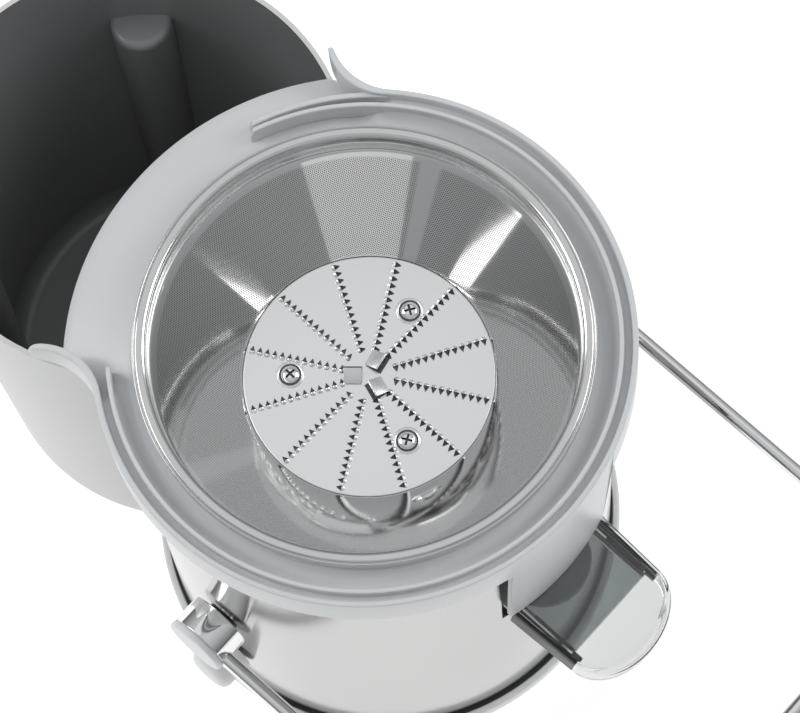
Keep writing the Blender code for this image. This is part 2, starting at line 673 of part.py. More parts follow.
def make_slope():
    """The tilt that duct and hood share, about the level line where they leave the housing."""
    slope = make_axis("spout_slope", (0, 0, 0))
    turn = Matrix.Rotation(math.radians(SPOUT_SLOPE), 4, "Y")
    hinge = Matrix.Translation((HOUSING_RADIUS, 0, DUCT_TOP))
    slope.matrix_local = Matrix.Translation((0, SPOUT_SIDE, 0)) @ hinge @ turn @ hinge.inverted()
    bpy.context.view_layer.update()
    return slope


def make_duct(smoke, slope):
    back = CUP_X - CUP_RADIUS - 0.003
    duct = box("spout_duct", (back, -DUCT_OUTER, DUCT_LOW), (DUCT_REACH, DUCT_OUTER, DUCT_TOP), smoke,
        slope)
    inside = box("duct_inside", (back + DUCT_SKIN, -DUCT_HALF_WIDTH, DUCT_LOW + DUCT_SKIN),
                 (DUCT_REACH + 0.01, DUCT_HALF_WIDTH, DUCT_TOP - DUCT_SKIN), parent=slope)
    cut(duct, as_tool(inside))
    seat = cylinder("cup_seat", CUP_RADIUS + GAP + 0.0001, CUP_LOW - 0.0004, DUCT_TOP + 0.02, steps=40)
    seat.location = (CUP_X, 0, 0)
    cut(duct, as_tool(seat))
    slot = box("neck_slot", (CUP_X - 0.0183, -CUP_RADIUS, CUP_TOP - 0.0024),
        (CUP_X, CUP_RADIUS, DUCT_TOP + 0.02))
    cut(duct, as_tool(slot))


def hood_outline(inset, back):
    """Half-round nose on two sides that close in slightly towards it."""
    nose_half = HOOD_HALF_WIDTH - HOOD_TAPER - inset
    nose = HOOD_NOSE - inset
    points = [(back, -HOOD_HALF_WIDTH + inset)]
    for x, y in arc((0, 0), 1.0, -90, 90, 28):
        points.append((HOOD_STRAIGHT + nose * x, nose_half * y))
    points.append((back, HOOD_HALF_WIDTH - inset))
    return points


def make_hood(smoke, slope):
    hood = outline_solid("spout_hood", hood_outline(0, HOOD_BACK), DUCT_LOW, HOOD_TOP, smoke, slope)
    inside = outline_solid("hood_inside", hood_outline(HOOD_SKIN, HOOD_BACK - 0.01), DUCT_LOW - 0.01,
                           HOOD_TOP - HOOD_TOP_SKIN, parent=slope)
    cut(hood, as_tool(inside))
    return hood


# Basket

def make_basket(steel, mesh_steel, plastic):
    top = RIM_HEIGHT
    outer = BASKET_RADIUS
    turned("basket_rim", [
        (outer - 0.0007, top), (outer, top - 0.0009), (outer, RIM_LOW + 0.0010), (outer - 0.0008, RIM_LOW),
        (RIM_BORE, RIM_LOW), (RIM_BORE, top - 0.0008), (RIM_BORE + 0.0006, top - 0.0002),
        (outer - 0.0017, top - 0.0006)], steel, 64)
    low = BASE_TOP - 0.005
    foot = DISC_RADIUS + 0.0007
    crimp = RIM_LOW - 0.006
    bore_high = RIM_BORE + 0.0002
    bore_band = RIM_BORE - 0.0006
    turned("sieve_cone", [
        (bore_high + SIEVE_WALL, RIM_LOW - GAP), (bore_band + SIEVE_WALL, crimp),
        (foot + SIEVE_WALL, BASE_TOP),
        (foot + SIEVE_WALL, low), (foot, low), (foot, BASE_TOP), (bore_band, crimp),
        (bore_high, RIM_LOW - GAP)],
        mesh_steel, 64)
    base_radius = foot - GAP
    base_low = BASE_TOP - 0.0064
    hub_low = COUPLING_LOW + 0.001
    hub = turned("basket_base", [
        (0, BASE_TOP), (base_radius, BASE_TOP), (base_radius, base_low),
        (BASE_HUB_RADIUS + 0.004, base_low),
        (BASE_HUB_RADIUS, base_low - 0.004), (BASE_HUB_RADIUS, hub_low), (0, hub_low)], plastic, 64)
    socket = cylinder("hub_socket", COUPLING_RADIUS + 0.0006, hub_low - 0.01, COUPLING_HIGH + 0.0006,
        steps=6)
    cut(hub, as_tool(socket))


def tooth_field(name):
    """Every pressed tooth as a small pyramid whose foot lies inside the disc."""
    mesh = bpy.data.meshes.new(name)
    shape = bmesh.new()
    pitch = (TEETH_OUTER_RADIUS - TEETH_INNER_RADIUS) / TEETH_IN_ROW
    low = DISC_TOP - DISC_THICKNESS / 2
    depth = DISC_TOP + TOOTH_HEIGHT - low
    for row in range(TOOTH_ROWS):
        spin = Matrix.Rotation(math.radians(TOOTH_ROW_ANGLE + 360 / TOOTH_ROWS * row), 4, "Z")
        for tooth in range(TEETH_IN_ROW):
            radius = TEETH_INNER_RADIUS + (tooth + 0.5) * pitch
            spot = spin @ Matrix.Translation((radius, 0, low + depth / 2))
            bmesh.ops.create_cone(shape, cap_ends=True, segments=3, radius1=TOOTH_WIDTH * 0.75, radius2=0.0,
                                  depth=depth, matrix=spot)
    shape.to_mesh(mesh)
    shape.free()
    return place(name, mesh, None)


def make_grater(steel, screw_steel):
    low = DISC_TOP - DISC_THICKNESS
    disc = cylinder("grater_disc", DISC_RADIUS, low, DISC_TOP, steel, steps=72, bevel=0.0004)
    join(disc, as_tool(tooth_field("tooth_field")))
    for index in range(3):
        angle = math.radians(SCREW_ANGLE + 120 * index)
        place_xy = (SCREW_CIRCLE * math.cos(angle), SCREW_CIRCLE * math.sin(angle), 0)
        head_low = DISC_TOP - 0.0008
        sink = cylinder(f"screw_sink_{index + 1}", SCREW_HEAD_RADIUS + GAP, head_low - GAP,
            DISC_TOP + 0.01, steps=24)
        sink.location = place_xy
        cut(disc, as_tool(sink))
        head = turned(f"grater_screw_{index + 1}", [
            (0, DISC_TOP + 0.0006), (SCREW_HEAD_RADIUS * 0.6, DISC_TOP + 0.0005),
            (SCREW_HEAD_RADIUS, DISC_TOP),
            (SCREW_HEAD_RADIUS, head_low), (0, head_low)], screw_steel, 24)
        head.location = place_xy
        for turn in (0, 90):
            slot = box(f"cross_slot_{index + 1}_{turn}", (-0.0022, -0.00045, DISC_TOP - 0.0002),
                       (0.0022, 0.00045, DISC_TOP + 0.01))
            slot.location = place_xy
            slot.rotation_euler = (0, 0, angle + math.radians(45 + turn))
            cut(head, as_tool(slot))


# Bail and knob

def make_bail(chrome, plastic):
    pivot = make_axis("bail_pivot", (0, 0, PIVOT_HEIGHT))
    start = HUB_RADIUS - 0.004
    corner = BAIL_LENGTH - BAIL_CORNER
    points = [(start, -ARM_Y), (corner / 2, -ARM_Y), (corner, -ARM_Y)]
    points += arc((corner, -ARM_Y + BAIL_CORNER), BAIL_CORNER, -90, 0, 8)[1:]
    points += arc((corner, ARM_Y - BAIL_CORNER), BAIL_CORNER, 0, 90, 8)
    points += [(corner / 2, ARM_Y), (start, ARM_Y)]
    data = bpy.data.curves.new("bail_rod", "CURVE")
    data.dimensions = "3D"
    data.bevel_depth = ROD_RADIUS
    data.bevel_resolution = 4
    data.use_fill_caps = True
    line = data.splines.new("POLY")
    line.points.add(len(points) - 1)
    slope = math.radians(BAIL_SLOPE)
    for point, (x, y) in zip(line.points, points):
        point.co = (x * math.cos(slope), y, -x * math.sin(slope), 1)
    rod = bpy.data.objects.new("bail_rod", data)
    parts.objects.link(rod)
    rod.parent = pivot
    meshed(rod, chrome)
    for name, side in (("near", -1), ("far", 1)):
        outer = HUB_INNER_Y + HUB_LENGTH
        inner_end = SHELL_INNER - 0.012
        hub = turned(f"hub_cap_{name}", [
            (0, outer), (HUB_RADIUS - 0.0016, outer - 0.0004), (HUB_RADIUS - 0.0004, outer - 0.0012),
            (HUB_RADIUS, outer - 0.0024), (HUB_RADIUS, HUB_INNER_Y), (PIN_RADIUS, HUB_INNER_Y),
            (PIN_RADIUS, inner_end), (0, inner_end)], chrome, 32, pivot)
        along_y(hub, side)
        hole = cylinder(f"rod_hole_{name}", ROD_RADIUS + GAP, start - GAP, 0.03, parent=pivot, steps=20)
        hole.rotation_euler = (0, math.pi / 2 + slope, 0)
        hole.location = (0, side * ARM_Y, 0)
        cut(hub, as_tool(hole))
        bush = turned(f"pivot_bush_{name}", [
            (BUSH_RADIUS, HUB_INNER_Y - RUN), (BUSH_RADIUS, SHELL_INNER - 0.0033),
            (0.0095, SHELL_INNER - 0.0033),
            (0.0095, SHELL_INNER - 0.0063), (PIN_RADIUS + GAP, SHELL_INNER - 0.0063),
            (PIN_RADIUS + GAP, HUB_INNER_Y - RUN)], plastic, 24)
        bush.location = (0, 0, PIVOT_HEIGHT)
        along_y(bush, side)


def make_knob(plastic):
    axis = make_axis("knob_axis", (0, 0, KNOB_HEIGHT))
    low = HOUSING_RADIUS + 0.0008
    high = low + KNOB_LENGTH
    stem_end = SHELL_INNER - 0.0026
    knob = turned("control_knob", [
        (0, high), (KNOB_RADIUS * 0.55, high - 0.0006), (KNOB_RADIUS * 0.86, high - 0.0026),
        (KNOB_RADIUS, high - 0.0060), (KNOB_RADIUS, low), (PIN_RADIUS - 0.001, low),
        (PIN_RADIUS - 0.001, stem_end),
        (0, stem_end)], plastic, 32, axis)
    along_y(knob, -1)


# Pulp bin

def bin_axis(height):
    return BIN_CENTRE + BIN_LEAN * (1 - height / BIN_TOP)


def bin_form(name, inset, low, high, hug):
    """A round tub with draft and a rounded foot, less the hollow that fits round the housing."""
    rounding = BIN_FOOT_ROUNDING - inset
    levels = [(low + rounding * (1 - math.cos(math.radians(a))), rounding * (1 - math.sin(math.radians(a))))
              for a in (0, 30, 60, 90)]
    levels.append((high, 0.0))
    segments = 64
    shape = bmesh.new()
    loops = []
    for height, narrower in levels:
        radius = BIN_RADIUS - BIN_DRAFT * (1 - height / BIN_TOP) - narrower - inset
        loops.append([shape.verts.new((bin_axis(height) + x, y, height))
                      for x, y in arc((0, 0), radius, 0, 360, segments)[:-1]])
    for lower, upper in zip(loops, loops[1:]):
        for index in range(segments):
            after = (index + 1) % segments
            shape.faces.new((lower[index], lower[after], upper[after], upper[index]))
    shape.faces.new(list(reversed(loops[0])))
    shape.faces.new(loops[-1])
    bmesh.ops.recalc_face_normals(shape, faces=shape.faces)
    mesh = bpy.data.meshes.new(name)
    shape.to_mesh(mesh)
    shape.free()
    tub = place(name, mesh, None)
    cut(tub, as_tool(cylinder(f"{name}_hug", hug, -0.05, 0.3, steps=72)))
    return tub


def grip_form(name, radius, side):
    """An upright column centred just inside the bin's wall, so that it opens towards the outside."""
    top = GRIP_TOP - (GRIP_RADIUS - radius)
    column = turned(name, [(0, top), (radius * 0.70, top - 0.0010), (radius * 0.93, top - 0.0035),
                           (radius, top - 0.0080), (radius, -0.02), (0, -0.02)], steps=32)
    angle = math.radians(side * GRIP_ANGLE)
    column.location = (bin_axis(GRIP_TOP) + GRIP_CENTRE * math.cos(angle), GRIP_CENTRE * math.sin(angle), 0)
    column.rotation_euler = (0, 0, angle)
    return as_tool(column)


def make_bin(plastic):
    tub = bin_form("pulp_bin", 0.0, BIN_FOOT, BIN_TOP, BIN_HUG_RADIUS)
    tub.data.materials.append(plastic)
    inside = bin_form("bin_inside", BIN_WALL, BIN_FOOT + BIN_WALL, BIN_TOP + 0.01,
        BIN_HUG_RADIUS + BIN_WALL)
    for name, side in (("near", -1), ("far", 1)):
        cut(inside, grip_form(f"grip_wall_{name}", GRIP_RADIUS, side))
        cut(tub, grip_form(f"grip_hollow_{name}", GRIP_RADIUS - BIN_WALL, side))
    cut(tub, as_tool(inside))
    front = turned("bin_front_clearing", ring_profile(BIN_HUG_RADIUS - 0.010, BIN_HUG_RADIUS + 0.0075,
                                                      BIN_FRONT_TOP, BIN_TOP + 0.01), steps=72)
    cut(tub, as_tool(front))
    return tub


def build():
    global parts, cutters, spindle
    clear_scene()
    parts = make_collection("centrifugal_juicer")
    cutters = make_collection("cutters")
    spindle = make_axis("spindle", (SPINDLE_X, 0, 0))
    polished = make_material("polished_steel", (0.78, 0.78, 0.77), 0.18, 1.0)
    chrome = make_material("chrome", (0.90, 0.90, 0.90), 0.05, 1.0)
    brushed = make_material("brushed_steel", (0.72, 0.73, 0.73), 0.28, 1.0)
    plain_steel = make_material("plain_steel", (0.55, 0.56, 0.57), 0.35, 1.0)
    bowl_grey = make_material("bowl_grey", (0.62, 0.66, 0.68), 0.35)
    base_grey = make_material("base_grey", (0.66, 0.67, 0.67), 0.35)
    bin_grey = make_material("bin_grey", (0.68, 0.68, 0.67), 0.30)
    smoke = make_material("smoke_plastic", (0.30, 0.32, 0.32), 0.08)
    black = make_material("black_plastic", (0.03, 0.03, 0.03), 0.45)
    rubber = make_material("rubber", (0.05, 0.05, 0.05), 0.80)
    copper = make_material("copper", (0.72, 0.36, 0.20), 0.35, 1.0)
    carbon = make_material("carbon", (0.04, 0.04, 0.04), 0.70)
    brass = make_material("brass", (0.75, 0.58, 0.28), 0.35, 1.0)
    zinc = make_material("die_cast_zinc", (0.50, 0.51, 0.52), 0.50, 1.0)
    make_housing(polished)
    make_base(base_grey, rubber)
    make_deck(base_grey, plain_steel, rubber)
    make_stator(plain_steel, copper, zinc, plain_steel, carbon, brass)
    make_rotor(plain_steel, plain_steel, copper, black, rubber)
    make_electrics(base_grey, black)
    make_bowl(bowl_grey)
    slope = make_slope()
    make_duct(smoke, slope)
    make_hood(smoke, slope)
    make_basket(chrome, brushed, base_grey)
    make_grater(brushed, chrome)
    make_bail(chrome, black)
    make_knob(base_grey)
    make_bin(bin_grey)


build()
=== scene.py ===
import json
import math

import bmesh
import bpy
from mathutils import Matrix, Quaternion, Vector

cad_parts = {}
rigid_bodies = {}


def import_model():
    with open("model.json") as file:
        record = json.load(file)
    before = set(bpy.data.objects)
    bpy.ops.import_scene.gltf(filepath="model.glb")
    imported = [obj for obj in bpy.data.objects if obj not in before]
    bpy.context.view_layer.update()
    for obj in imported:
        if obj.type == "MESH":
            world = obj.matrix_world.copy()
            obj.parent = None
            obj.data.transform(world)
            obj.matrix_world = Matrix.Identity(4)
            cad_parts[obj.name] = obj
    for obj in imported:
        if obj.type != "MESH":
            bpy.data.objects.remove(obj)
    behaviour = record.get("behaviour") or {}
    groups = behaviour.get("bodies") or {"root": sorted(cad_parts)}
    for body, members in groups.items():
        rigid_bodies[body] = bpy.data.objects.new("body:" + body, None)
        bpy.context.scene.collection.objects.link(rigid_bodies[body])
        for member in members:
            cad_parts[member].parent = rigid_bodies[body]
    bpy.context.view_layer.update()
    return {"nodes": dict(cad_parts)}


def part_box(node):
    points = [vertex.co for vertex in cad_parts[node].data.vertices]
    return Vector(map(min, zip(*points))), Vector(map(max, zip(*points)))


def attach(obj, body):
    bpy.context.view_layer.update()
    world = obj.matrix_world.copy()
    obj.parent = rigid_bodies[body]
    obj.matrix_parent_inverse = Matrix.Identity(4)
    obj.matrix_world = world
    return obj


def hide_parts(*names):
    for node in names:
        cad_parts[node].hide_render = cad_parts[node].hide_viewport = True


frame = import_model()


# Worktop, light and camera
# A plain pale worktop and six soft boxes in a room that darkens towards the horizon, with the
# camera high over the spout side.
disc_low, disc_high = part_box("grater_disc")
spindle = Vector(((disc_low.x + disc_high.x) / 2, 0, 0))


def new_material(name, colour, roughness, metallic=0.0):
    material = bpy.data.materials.new(name)
    material.use_nodes = True
    shader = material.node_tree.nodes["Principled BSDF"]
    shader.inputs["Base Color"].default_value = (*colour, 1.0)
    shader.inputs["Roughness"].default_value = roughness
    shader.inputs["Metallic"].default_value = metallic
    return material, material.node_tree, shader


def map_range(tree, value, to_low, to_high, from_low=0.0, from_high=1.0):
    node = tree.nodes.new("ShaderNodeMapRange")
    limits = {"From Min": from_low, "From Max": from_high, "To Min": to_low, "To Max": to_high}
    for label, limit in limits.items():
        node.inputs[label].default_value = limit
    tree.links.new(value, node.inputs["Value"])
    return node.outputs["Result"]


worktop_paint, tree, shader = new_material("worktop_paint", (0.62, 0.62, 0.62), 0.6)
speck = tree.nodes.new("ShaderNodeTexNoise")
speck.inputs["Scale"].default_value = 40.0
tree.links.new(map_range(tree, speck.outputs["Fac"], 0.55, 0.65), shader.inputs["Roughness"])
shader.inputs["Emission Color"].default_value = (1, 1, 1, 1)
shader.inputs["Emission Strength"].default_value = 0.62

worktop_mesh = bpy.data.meshes.new("worktop")
worktop_mesh.from_pydata([(-3, -3, 0), (3, -3, 0), (3, 3, 0), (-3, 3, 0)], [], [(0, 1, 2, 3)])
worktop_mesh.materials.append(worktop_paint)
worktop = bpy.data.objects.new("worktop", worktop_mesh)
bpy.context.scene.collection.objects.link(worktop)

room = bpy.data.worlds.new("room")
room.use_nodes = True
walls = room.node_tree
towards = walls.nodes.new("ShaderNodeTexCoord")
split = walls.nodes.new("ShaderNodeSeparateXYZ")
walls.links.new(towards.outputs["Generated"], split.inputs["Vector"])
climb = map_range(walls, split.outputs["Z"], 0.13, 0.62, 0.0, 0.9)
walls.nodes["Background"].inputs["Color"].default_value = (0.97, 0.985, 1.0, 1)
walls.links.new(climb, walls.nodes["Background"].inputs["Strength"])
bpy.context.scene.world = room
bpy.context.scene.view_settings.view_transform = "Standard"


def soft_box(name, place, aim, width, height, watts):
    light = bpy.data.lights.new(name, "AREA")
    light.shape = "RECTANGLE"
    light.size = width
    light.size_y = height
    light.energy = watts
    lamp = bpy.data.objects.new(name, light)
    bpy.context.scene.collection.objects.link(lamp)
    lamp.location = place
    lamp.rotation_mode = "QUATERNION"
    lamp.rotation_quaternion = (Vector(aim) - Vector(place)).to_track_quat("-Z", "Y")


soft_box("box_over", (-0.45, 0.42, 1.75), (0, 0, 0.2), 1.3, 1.3, 1.0)
soft_box("box_back", (-1.1, -0.7, 1.3), (0, 0, 0.15), 0.9, 0.9, 9.5)
soft_box("box_right", (0.8, 1.2, 1.3), (0, 0, 0.15), 0.9, 0.9, 9.5)
soft_box("box_spout", (1.34, 0.48, 0.66), (0, 0, 0.21), 0.30, 0.10, 0.16)
soft_box("box_near", (-0.40, -1.30, 0.64), (0, 0, 0.21), 0.30, 0.10, 0.15)
soft_box("box_front", (1.0, -1.1, 0.80), (0, 0, 0.21), 1.1, 0.5, 0.55)

rim_centre = spindle + Vector((0, 0, 0.235))
aim = rim_centre + Vector((0.0149, 0.0042, 0))
turn, rise = math.radians(48.718), math.radians(70.976)
away = Vector((math.sin(turn) * math.cos(rise), -math.cos(turn) * math.cos(rise), math.sin(rise)))
eye = bpy.data.cameras.new("camera")
eye.lens = 167.9
eye.sensor_width = 36.0
eye.clip_start = 0.05
camera = bpy.data.objects.new("camera", eye)
bpy.context.scene.collection.objects.link(camera)
camera.location = aim + away * 1.4212
camera.rotation_mode = "QUATERNION"
level = (-away).to_track_quat("-Z", "Y")
camera.rotation_quaternion = level @ Quaternion((0, 0, 1), math.radians(-7.296))
bpy.context.scene.camera = camera


# Base ring, base plate and feet
# The ring is moulded in light grey ABS and carries the steel housing in a groove, with a black
# strip lying in the gap between them. The plate closes it from below with four screws through the rubber
# feet.
def make_group(name, inputs, outputs):
    group = bpy.data.node_groups.new(name, "ShaderNodeTree")
    for label, kind, value in inputs:
        socket = group.interface.new_socket(label, in_out="INPUT", socket_type=kind)
        socket.default_value = value
    for label, kind in outputs:
        group.interface.new_socket(label, in_out="OUTPUT", socket_type=kind)
    return group, group.nodes.new("NodeGroupInput"), group.nodes.new("NodeGroupOutput")


def math_node(tree, operation, *values):
    node = tree.nodes.new("ShaderNodeMath")
    node.operation = operation
    for index, value in enumerate(values):
        if isinstance(value, (int, float)):
            node.inputs[index].default_value = value
        else:
            tree.links.new(value, node.inputs[index])
    return node.outputs["Value"]


moulded, given, made = make_group("moulded_grain", [("Colour", "NodeSocketColor", (0.8, 0.8, 0.8, 1)),
    ("Roughness", "NodeSocketFloat", 0.35), ("Texture", "NodeSocketFloat", 1.0)],
    [("Colour", "NodeSocketColor"), ("Roughness", "NodeSocketFloat"), ("Height", "NodeSocketFloat")])
where = moulded.nodes.new("ShaderNodeTexCoord")
grain = moulded.nodes.new("ShaderNodeTexNoise")
grain.inputs["Scale"].default_value = 2600.0
grain.inputs["Detail"].default_value = 2.0
flow = moulded.nodes.new("ShaderNodeTexNoise")
flow.inputs["Scale"].default_value = 22.0
flow.inputs["Detail"].default_value = 4.0
for texture in (grain, flow):
    moulded.links.new(where.outputs["Object"], texture.inputs["Vector"])
shade = map_range(moulded, flow.outputs["Fac"], 0.96, 1.03)
tint = moulded.nodes.new("ShaderNodeVectorMath")
tint.operation = "SCALE"
moulded.links.new(given.outputs["Colour"], tint.inputs[0])
moulded.links.new(shade, tint.inputs["Scale"])
moulded.links.new(tint.outputs["Vector"], made.inputs["Colour"])
uneven = math_node(moulded, "MULTIPLY_ADD", flow.outputs["Fac"], 0.12, given.outputs["Roughness"])
moulded.links.new(uneven, made.inputs["Roughness"])
fine = math_node(moulded, "MULTIPLY", grain.outputs["Fac"], given.outputs["Texture"])
moulded.links.new(fine, made.inputs["Height"])


def moulded_plastic(name, colour, roughness, texture=1.0, coat=0.0):
    material, tree, shader = new_material(name, colour, roughness)
    group = tree.nodes.new("ShaderNodeGroup")
    group.node_tree = moulded
    group.inputs["Colour"].default_value = (*colour, 1)
    group.inputs["Roughness"].default_value = roughness
    group.inputs["Texture"].default_value = texture
    bump = tree.nodes.new("ShaderNodeBump")
    bump.inputs["Strength"].default_value = 0.35
    bump.inputs["Distance"].default_value = 0.00006
    tree.links.new(group.outputs["Colour"], shader.inputs["Base Color"])
    tree.links.new(group.outputs["Roughness"], shader.inputs["Roughness"])
    tree.links.new(group.outputs["Height"], bump.inputs["Height"])
    tree.links.new(bump.outputs["Normal"], shader.inputs["Normal"])
    shader.inputs["Coat Weight"].default_value = coat
    shader.inputs["Coat Roughness"].default_value = 0.12
    return material


def rounded(corners, steps=5, closed=True):
    """Rounds the corners of a line: each corner is (across, height, rounding)."""
    points = []
    count = len(corners)
    for index, (x, z, size) in enumerate(corners):
        here = Vector((x, z))
        if size <= 0 or (not closed and index in (0, count - 1)):
            points.append((x, z))
            continue
        before = Vector(corners[index - 1][:2]) - here
        after = Vector(corners[(index + 1) % count][:2]) - here
        reach = min(size, before.length * 0.49, after.length * 0.49)
        start = here + before.normalized() * reach
        end = here + after.normalized() * reach
        for step in range(steps + 1):
            t = step / steps
            spot = start * (1 - t) ** 2 + here * 2 * t * (1 - t) + end * t ** 2
            points.append((spot.x, spot.y))
    return points


def turned(shape, profile, steps=192, closed=True, matrix=None):
    """Adds a profile of (radius, height) turned about Z to a shape."""
    matrix = matrix or Matrix.Identity(4)
    loops = []
    for radius, height in profile:
        if radius < 1e-7:
            loops.append([shape.verts.new(matrix @ Vector((0, 0, height)))])
            continue
        loop = []
        for step in range(steps):
            angle = 2 * math.pi * step / steps
            loop.append(shape.verts.new(matrix @ Vector((radius * math.cos(angle),
                radius * math.sin(angle), height))))
        loops.append(loop)
    pairs = list(zip(loops, loops[1:]))
    if closed:
        pairs.append((loops[-1], loops[0]))
    for one, two in pairs:
        for step in range(steps):
            after = (step + 1) % steps
            if len(one) == 1 and len(two) == 1:
                continue
            if len(one) == 1:
                shape.faces.new((one[0], two[after], two[step]))
            elif len(two) == 1:
                shape.faces.new((one[step], one[after], two[0]))
            else:
                shape.faces.new((one[step], one[after], two[after], two[step]))
    return shape


def finished(name, shape, material, body, stands_for=(), sharp=35.0, place=None):
    """Makes the object from a shape, smooth except at its edges, and lets it ride on its body."""
    bmesh.ops.recalc_face_normals(shape, faces=shape.faces)
    mesh = bpy.data.meshes.new(name)
    shape.to_mesh(mesh)
    shape.free()
    mesh.shade_smooth()
    mesh.set_sharp_from_angle(angle=math.radians(sharp))
    mesh.materials.append(material)
    made_piece = bpy.data.objects.new(name, mesh)
    bpy.context.scene.collection.objects.link(made_piece)
    made_piece.location = spindle if place is None else place
    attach(made_piece, body)
    if stands_for:
        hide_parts(*stands_for)
    return made_piece


base_grey = moulded_plastic("base_grey_abs", (0.80, 0.805, 0.81), 0.34)
black_rubber = moulded_plastic("black_rubber", (0.018, 0.018, 0.018), 0.62, 2.5)
housing_radius = 0.0965
ring_outer = housing_radius + 0.0043
shape = turned(bmesh.new(), rounded([(ring_outer, 0.0090, 0.0014), (ring_outer, 0.0025, 0.0008),
    (0.0948, 0.0025, 0.0003), (0.0948, 0.0086, 0.0003), (0.0978, 0.0086, 0.0002),
    (0.0980, 0.0090, 0.0003)]), 256)
finished("base_ring_moulding", shape, base_grey, "housing", ["base_ring"])
# a black strip fills the gap between the ring and the housing
shape = turned(bmesh.new(), rounded([(0.0977, 0.0094, 0.0002), (0.0977, 0.0087, 0), (0.0950, 0.0087, 0),
    (0.0950, 0.0092, 0)]), 256)
finished("housing_black_gap_strip", shape, black_rubber, "housing")


def finish_node(material, *names):
    for name in names:
        node = frame["nodes"][name]
        node.data.materials.clear()
        node.data.materials.append(material)


finish_node(base_grey, "base_plate")
finish_node(black_rubber, "foot_1", "foot_2", "foot_3", "foot_4", "cord_gland")


# Steel housing
# One polished stainless sheet rolled into a tube, open at the front for the spout, with its weld
# at the back behind the pulp bin.
brushed, given, made = make_group("drawn_lines", [("Around", "NodeSocketFloat", 4.0),
    ("Along", "NodeSocketFloat", 900.0), ("Roughness", "NodeSocketFloat", 0.2),
    ("Spread", "NodeSocketFloat", 0.1)], [("Roughness", "NodeSocketFloat"),
    ("Height", "NodeSocketFloat"), ("Tone", "NodeSocketFloat")])
where = brushed.nodes.new("ShaderNodeTexCoord")
parts_of = brushed.nodes.new("ShaderNodeSeparateXYZ")
brushed.links.new(where.outputs["Object"], parts_of.inputs["Vector"])
bearing = math_node(brushed, "ARCTAN2", parts_of.outputs["Y"], parts_of.outputs["X"])
joined = brushed.nodes.new("ShaderNodeCombineXYZ")
for axis, value, factor in (("X", bearing, "Around"), ("Y", parts_of.outputs["Z"], "Along")):
    brushed.links.new(math_node(brushed, "MULTIPLY", value, given.outputs[factor]), joined.inputs[axis])
lines = brushed.nodes.new("ShaderNodeTexNoise")
lines.inputs["Scale"].default_value = 1.0
lines.inputs["Detail"].default_value = 3.0
brushed.links.new(joined.outputs["Vector"], lines.inputs["Vector"])
rough = math_node(brushed, "MULTIPLY_ADD", lines.outputs["Fac"], given.outputs["Spread"],
    given.outputs["Roughness"])
brushed.links.new(rough, made.inputs["Roughness"])
brushed.links.new(lines.outputs["Fac"], made.inputs["Height"])
brushed.links.new(map_range(brushed, lines.outputs["Fac"], 0.94, 1.0), made.inputs["Tone"])


def drawn_steel(name, colour, roughness, spread, around, along, strength=0.05):
    material, tree, shader = new_material(name, colour, roughness, 1.0)
    group = tree.nodes.new("ShaderNodeGroup")
    group.node_tree = brushed
    group.inputs["Around"].default_value = around
    group.inputs["Along"].default_value = along
    group.inputs["Roughness"].default_value = roughness
    group.inputs["Spread"].default_value = spread
    bump = tree.nodes.new("ShaderNodeBump")
    bump.inputs["Strength"].default_value = strength
    bump.inputs["Distance"].default_value = 0.00005
    tree.links.new(group.outputs["Height"], bump.inputs["Height"])
    tree.links.new(bump.outputs["Normal"], shader.inputs["Normal"])
    tree.links.new(group.outputs["Roughness"], shader.inputs["Roughness"])
    shaded = tree.nodes.new("ShaderNodeVectorMath")
    shaded.operation = "SCALE"
    shaded.inputs[0].default_value = colour
    tree.links.new(group.outputs["Tone"], shaded.inputs["Scale"])
    tree.links.new(shaded.outputs["Vector"], shader.inputs["Base Color"])
    return material


polished_steel = drawn_steel("polished_steel", (0.50, 0.497, 0.49), 0.10, 0.08, 60.0, 700.0, 0.03)
shell_low, shell_top, notch_low = 0.0093, 0.2170, 0.1290
notch_angle = math.degrees(math.asin(0.0275 / housing_radius))
bearings = [notch_angle + (360 - 2 * notch_angle) * step / 220 for step in range(221)]
bearings += [notch_angle * (step / 16 * 2 - 1) for step in range(1, 16)]
heights = [shell_low, 0.05, notch_low, 0.17, shell_top]
shape = bmesh.new()
grid = [[shape.verts.new((housing_radius * math.cos(math.radians(a)),
    housing_radius * math.sin(math.radians(a)), z)) for a in bearings] for z in heights]
for row in range(len(heights) - 1):
    for column in range(len(bearings)):
        if row >= 2 and column >= 220:
            continue
        after = (column + 1) % len(bearings)
        shape.faces.new((grid[row][column], grid[row][after], grid[row + 1][after], grid[row + 1][column]))
housing = finished("housing_tube", shape, polished_steel, "housing", ["housing_shell"])
sheet = housing.modifiers.new("sheet", "SOLIDIFY")
sheet.thickness = 0.0010
sheet.offset = -1.0
crisp = housing.modifiers.new("crisp_edges", "EDGE_SPLIT")
crisp.split_angle = math.radians(30)


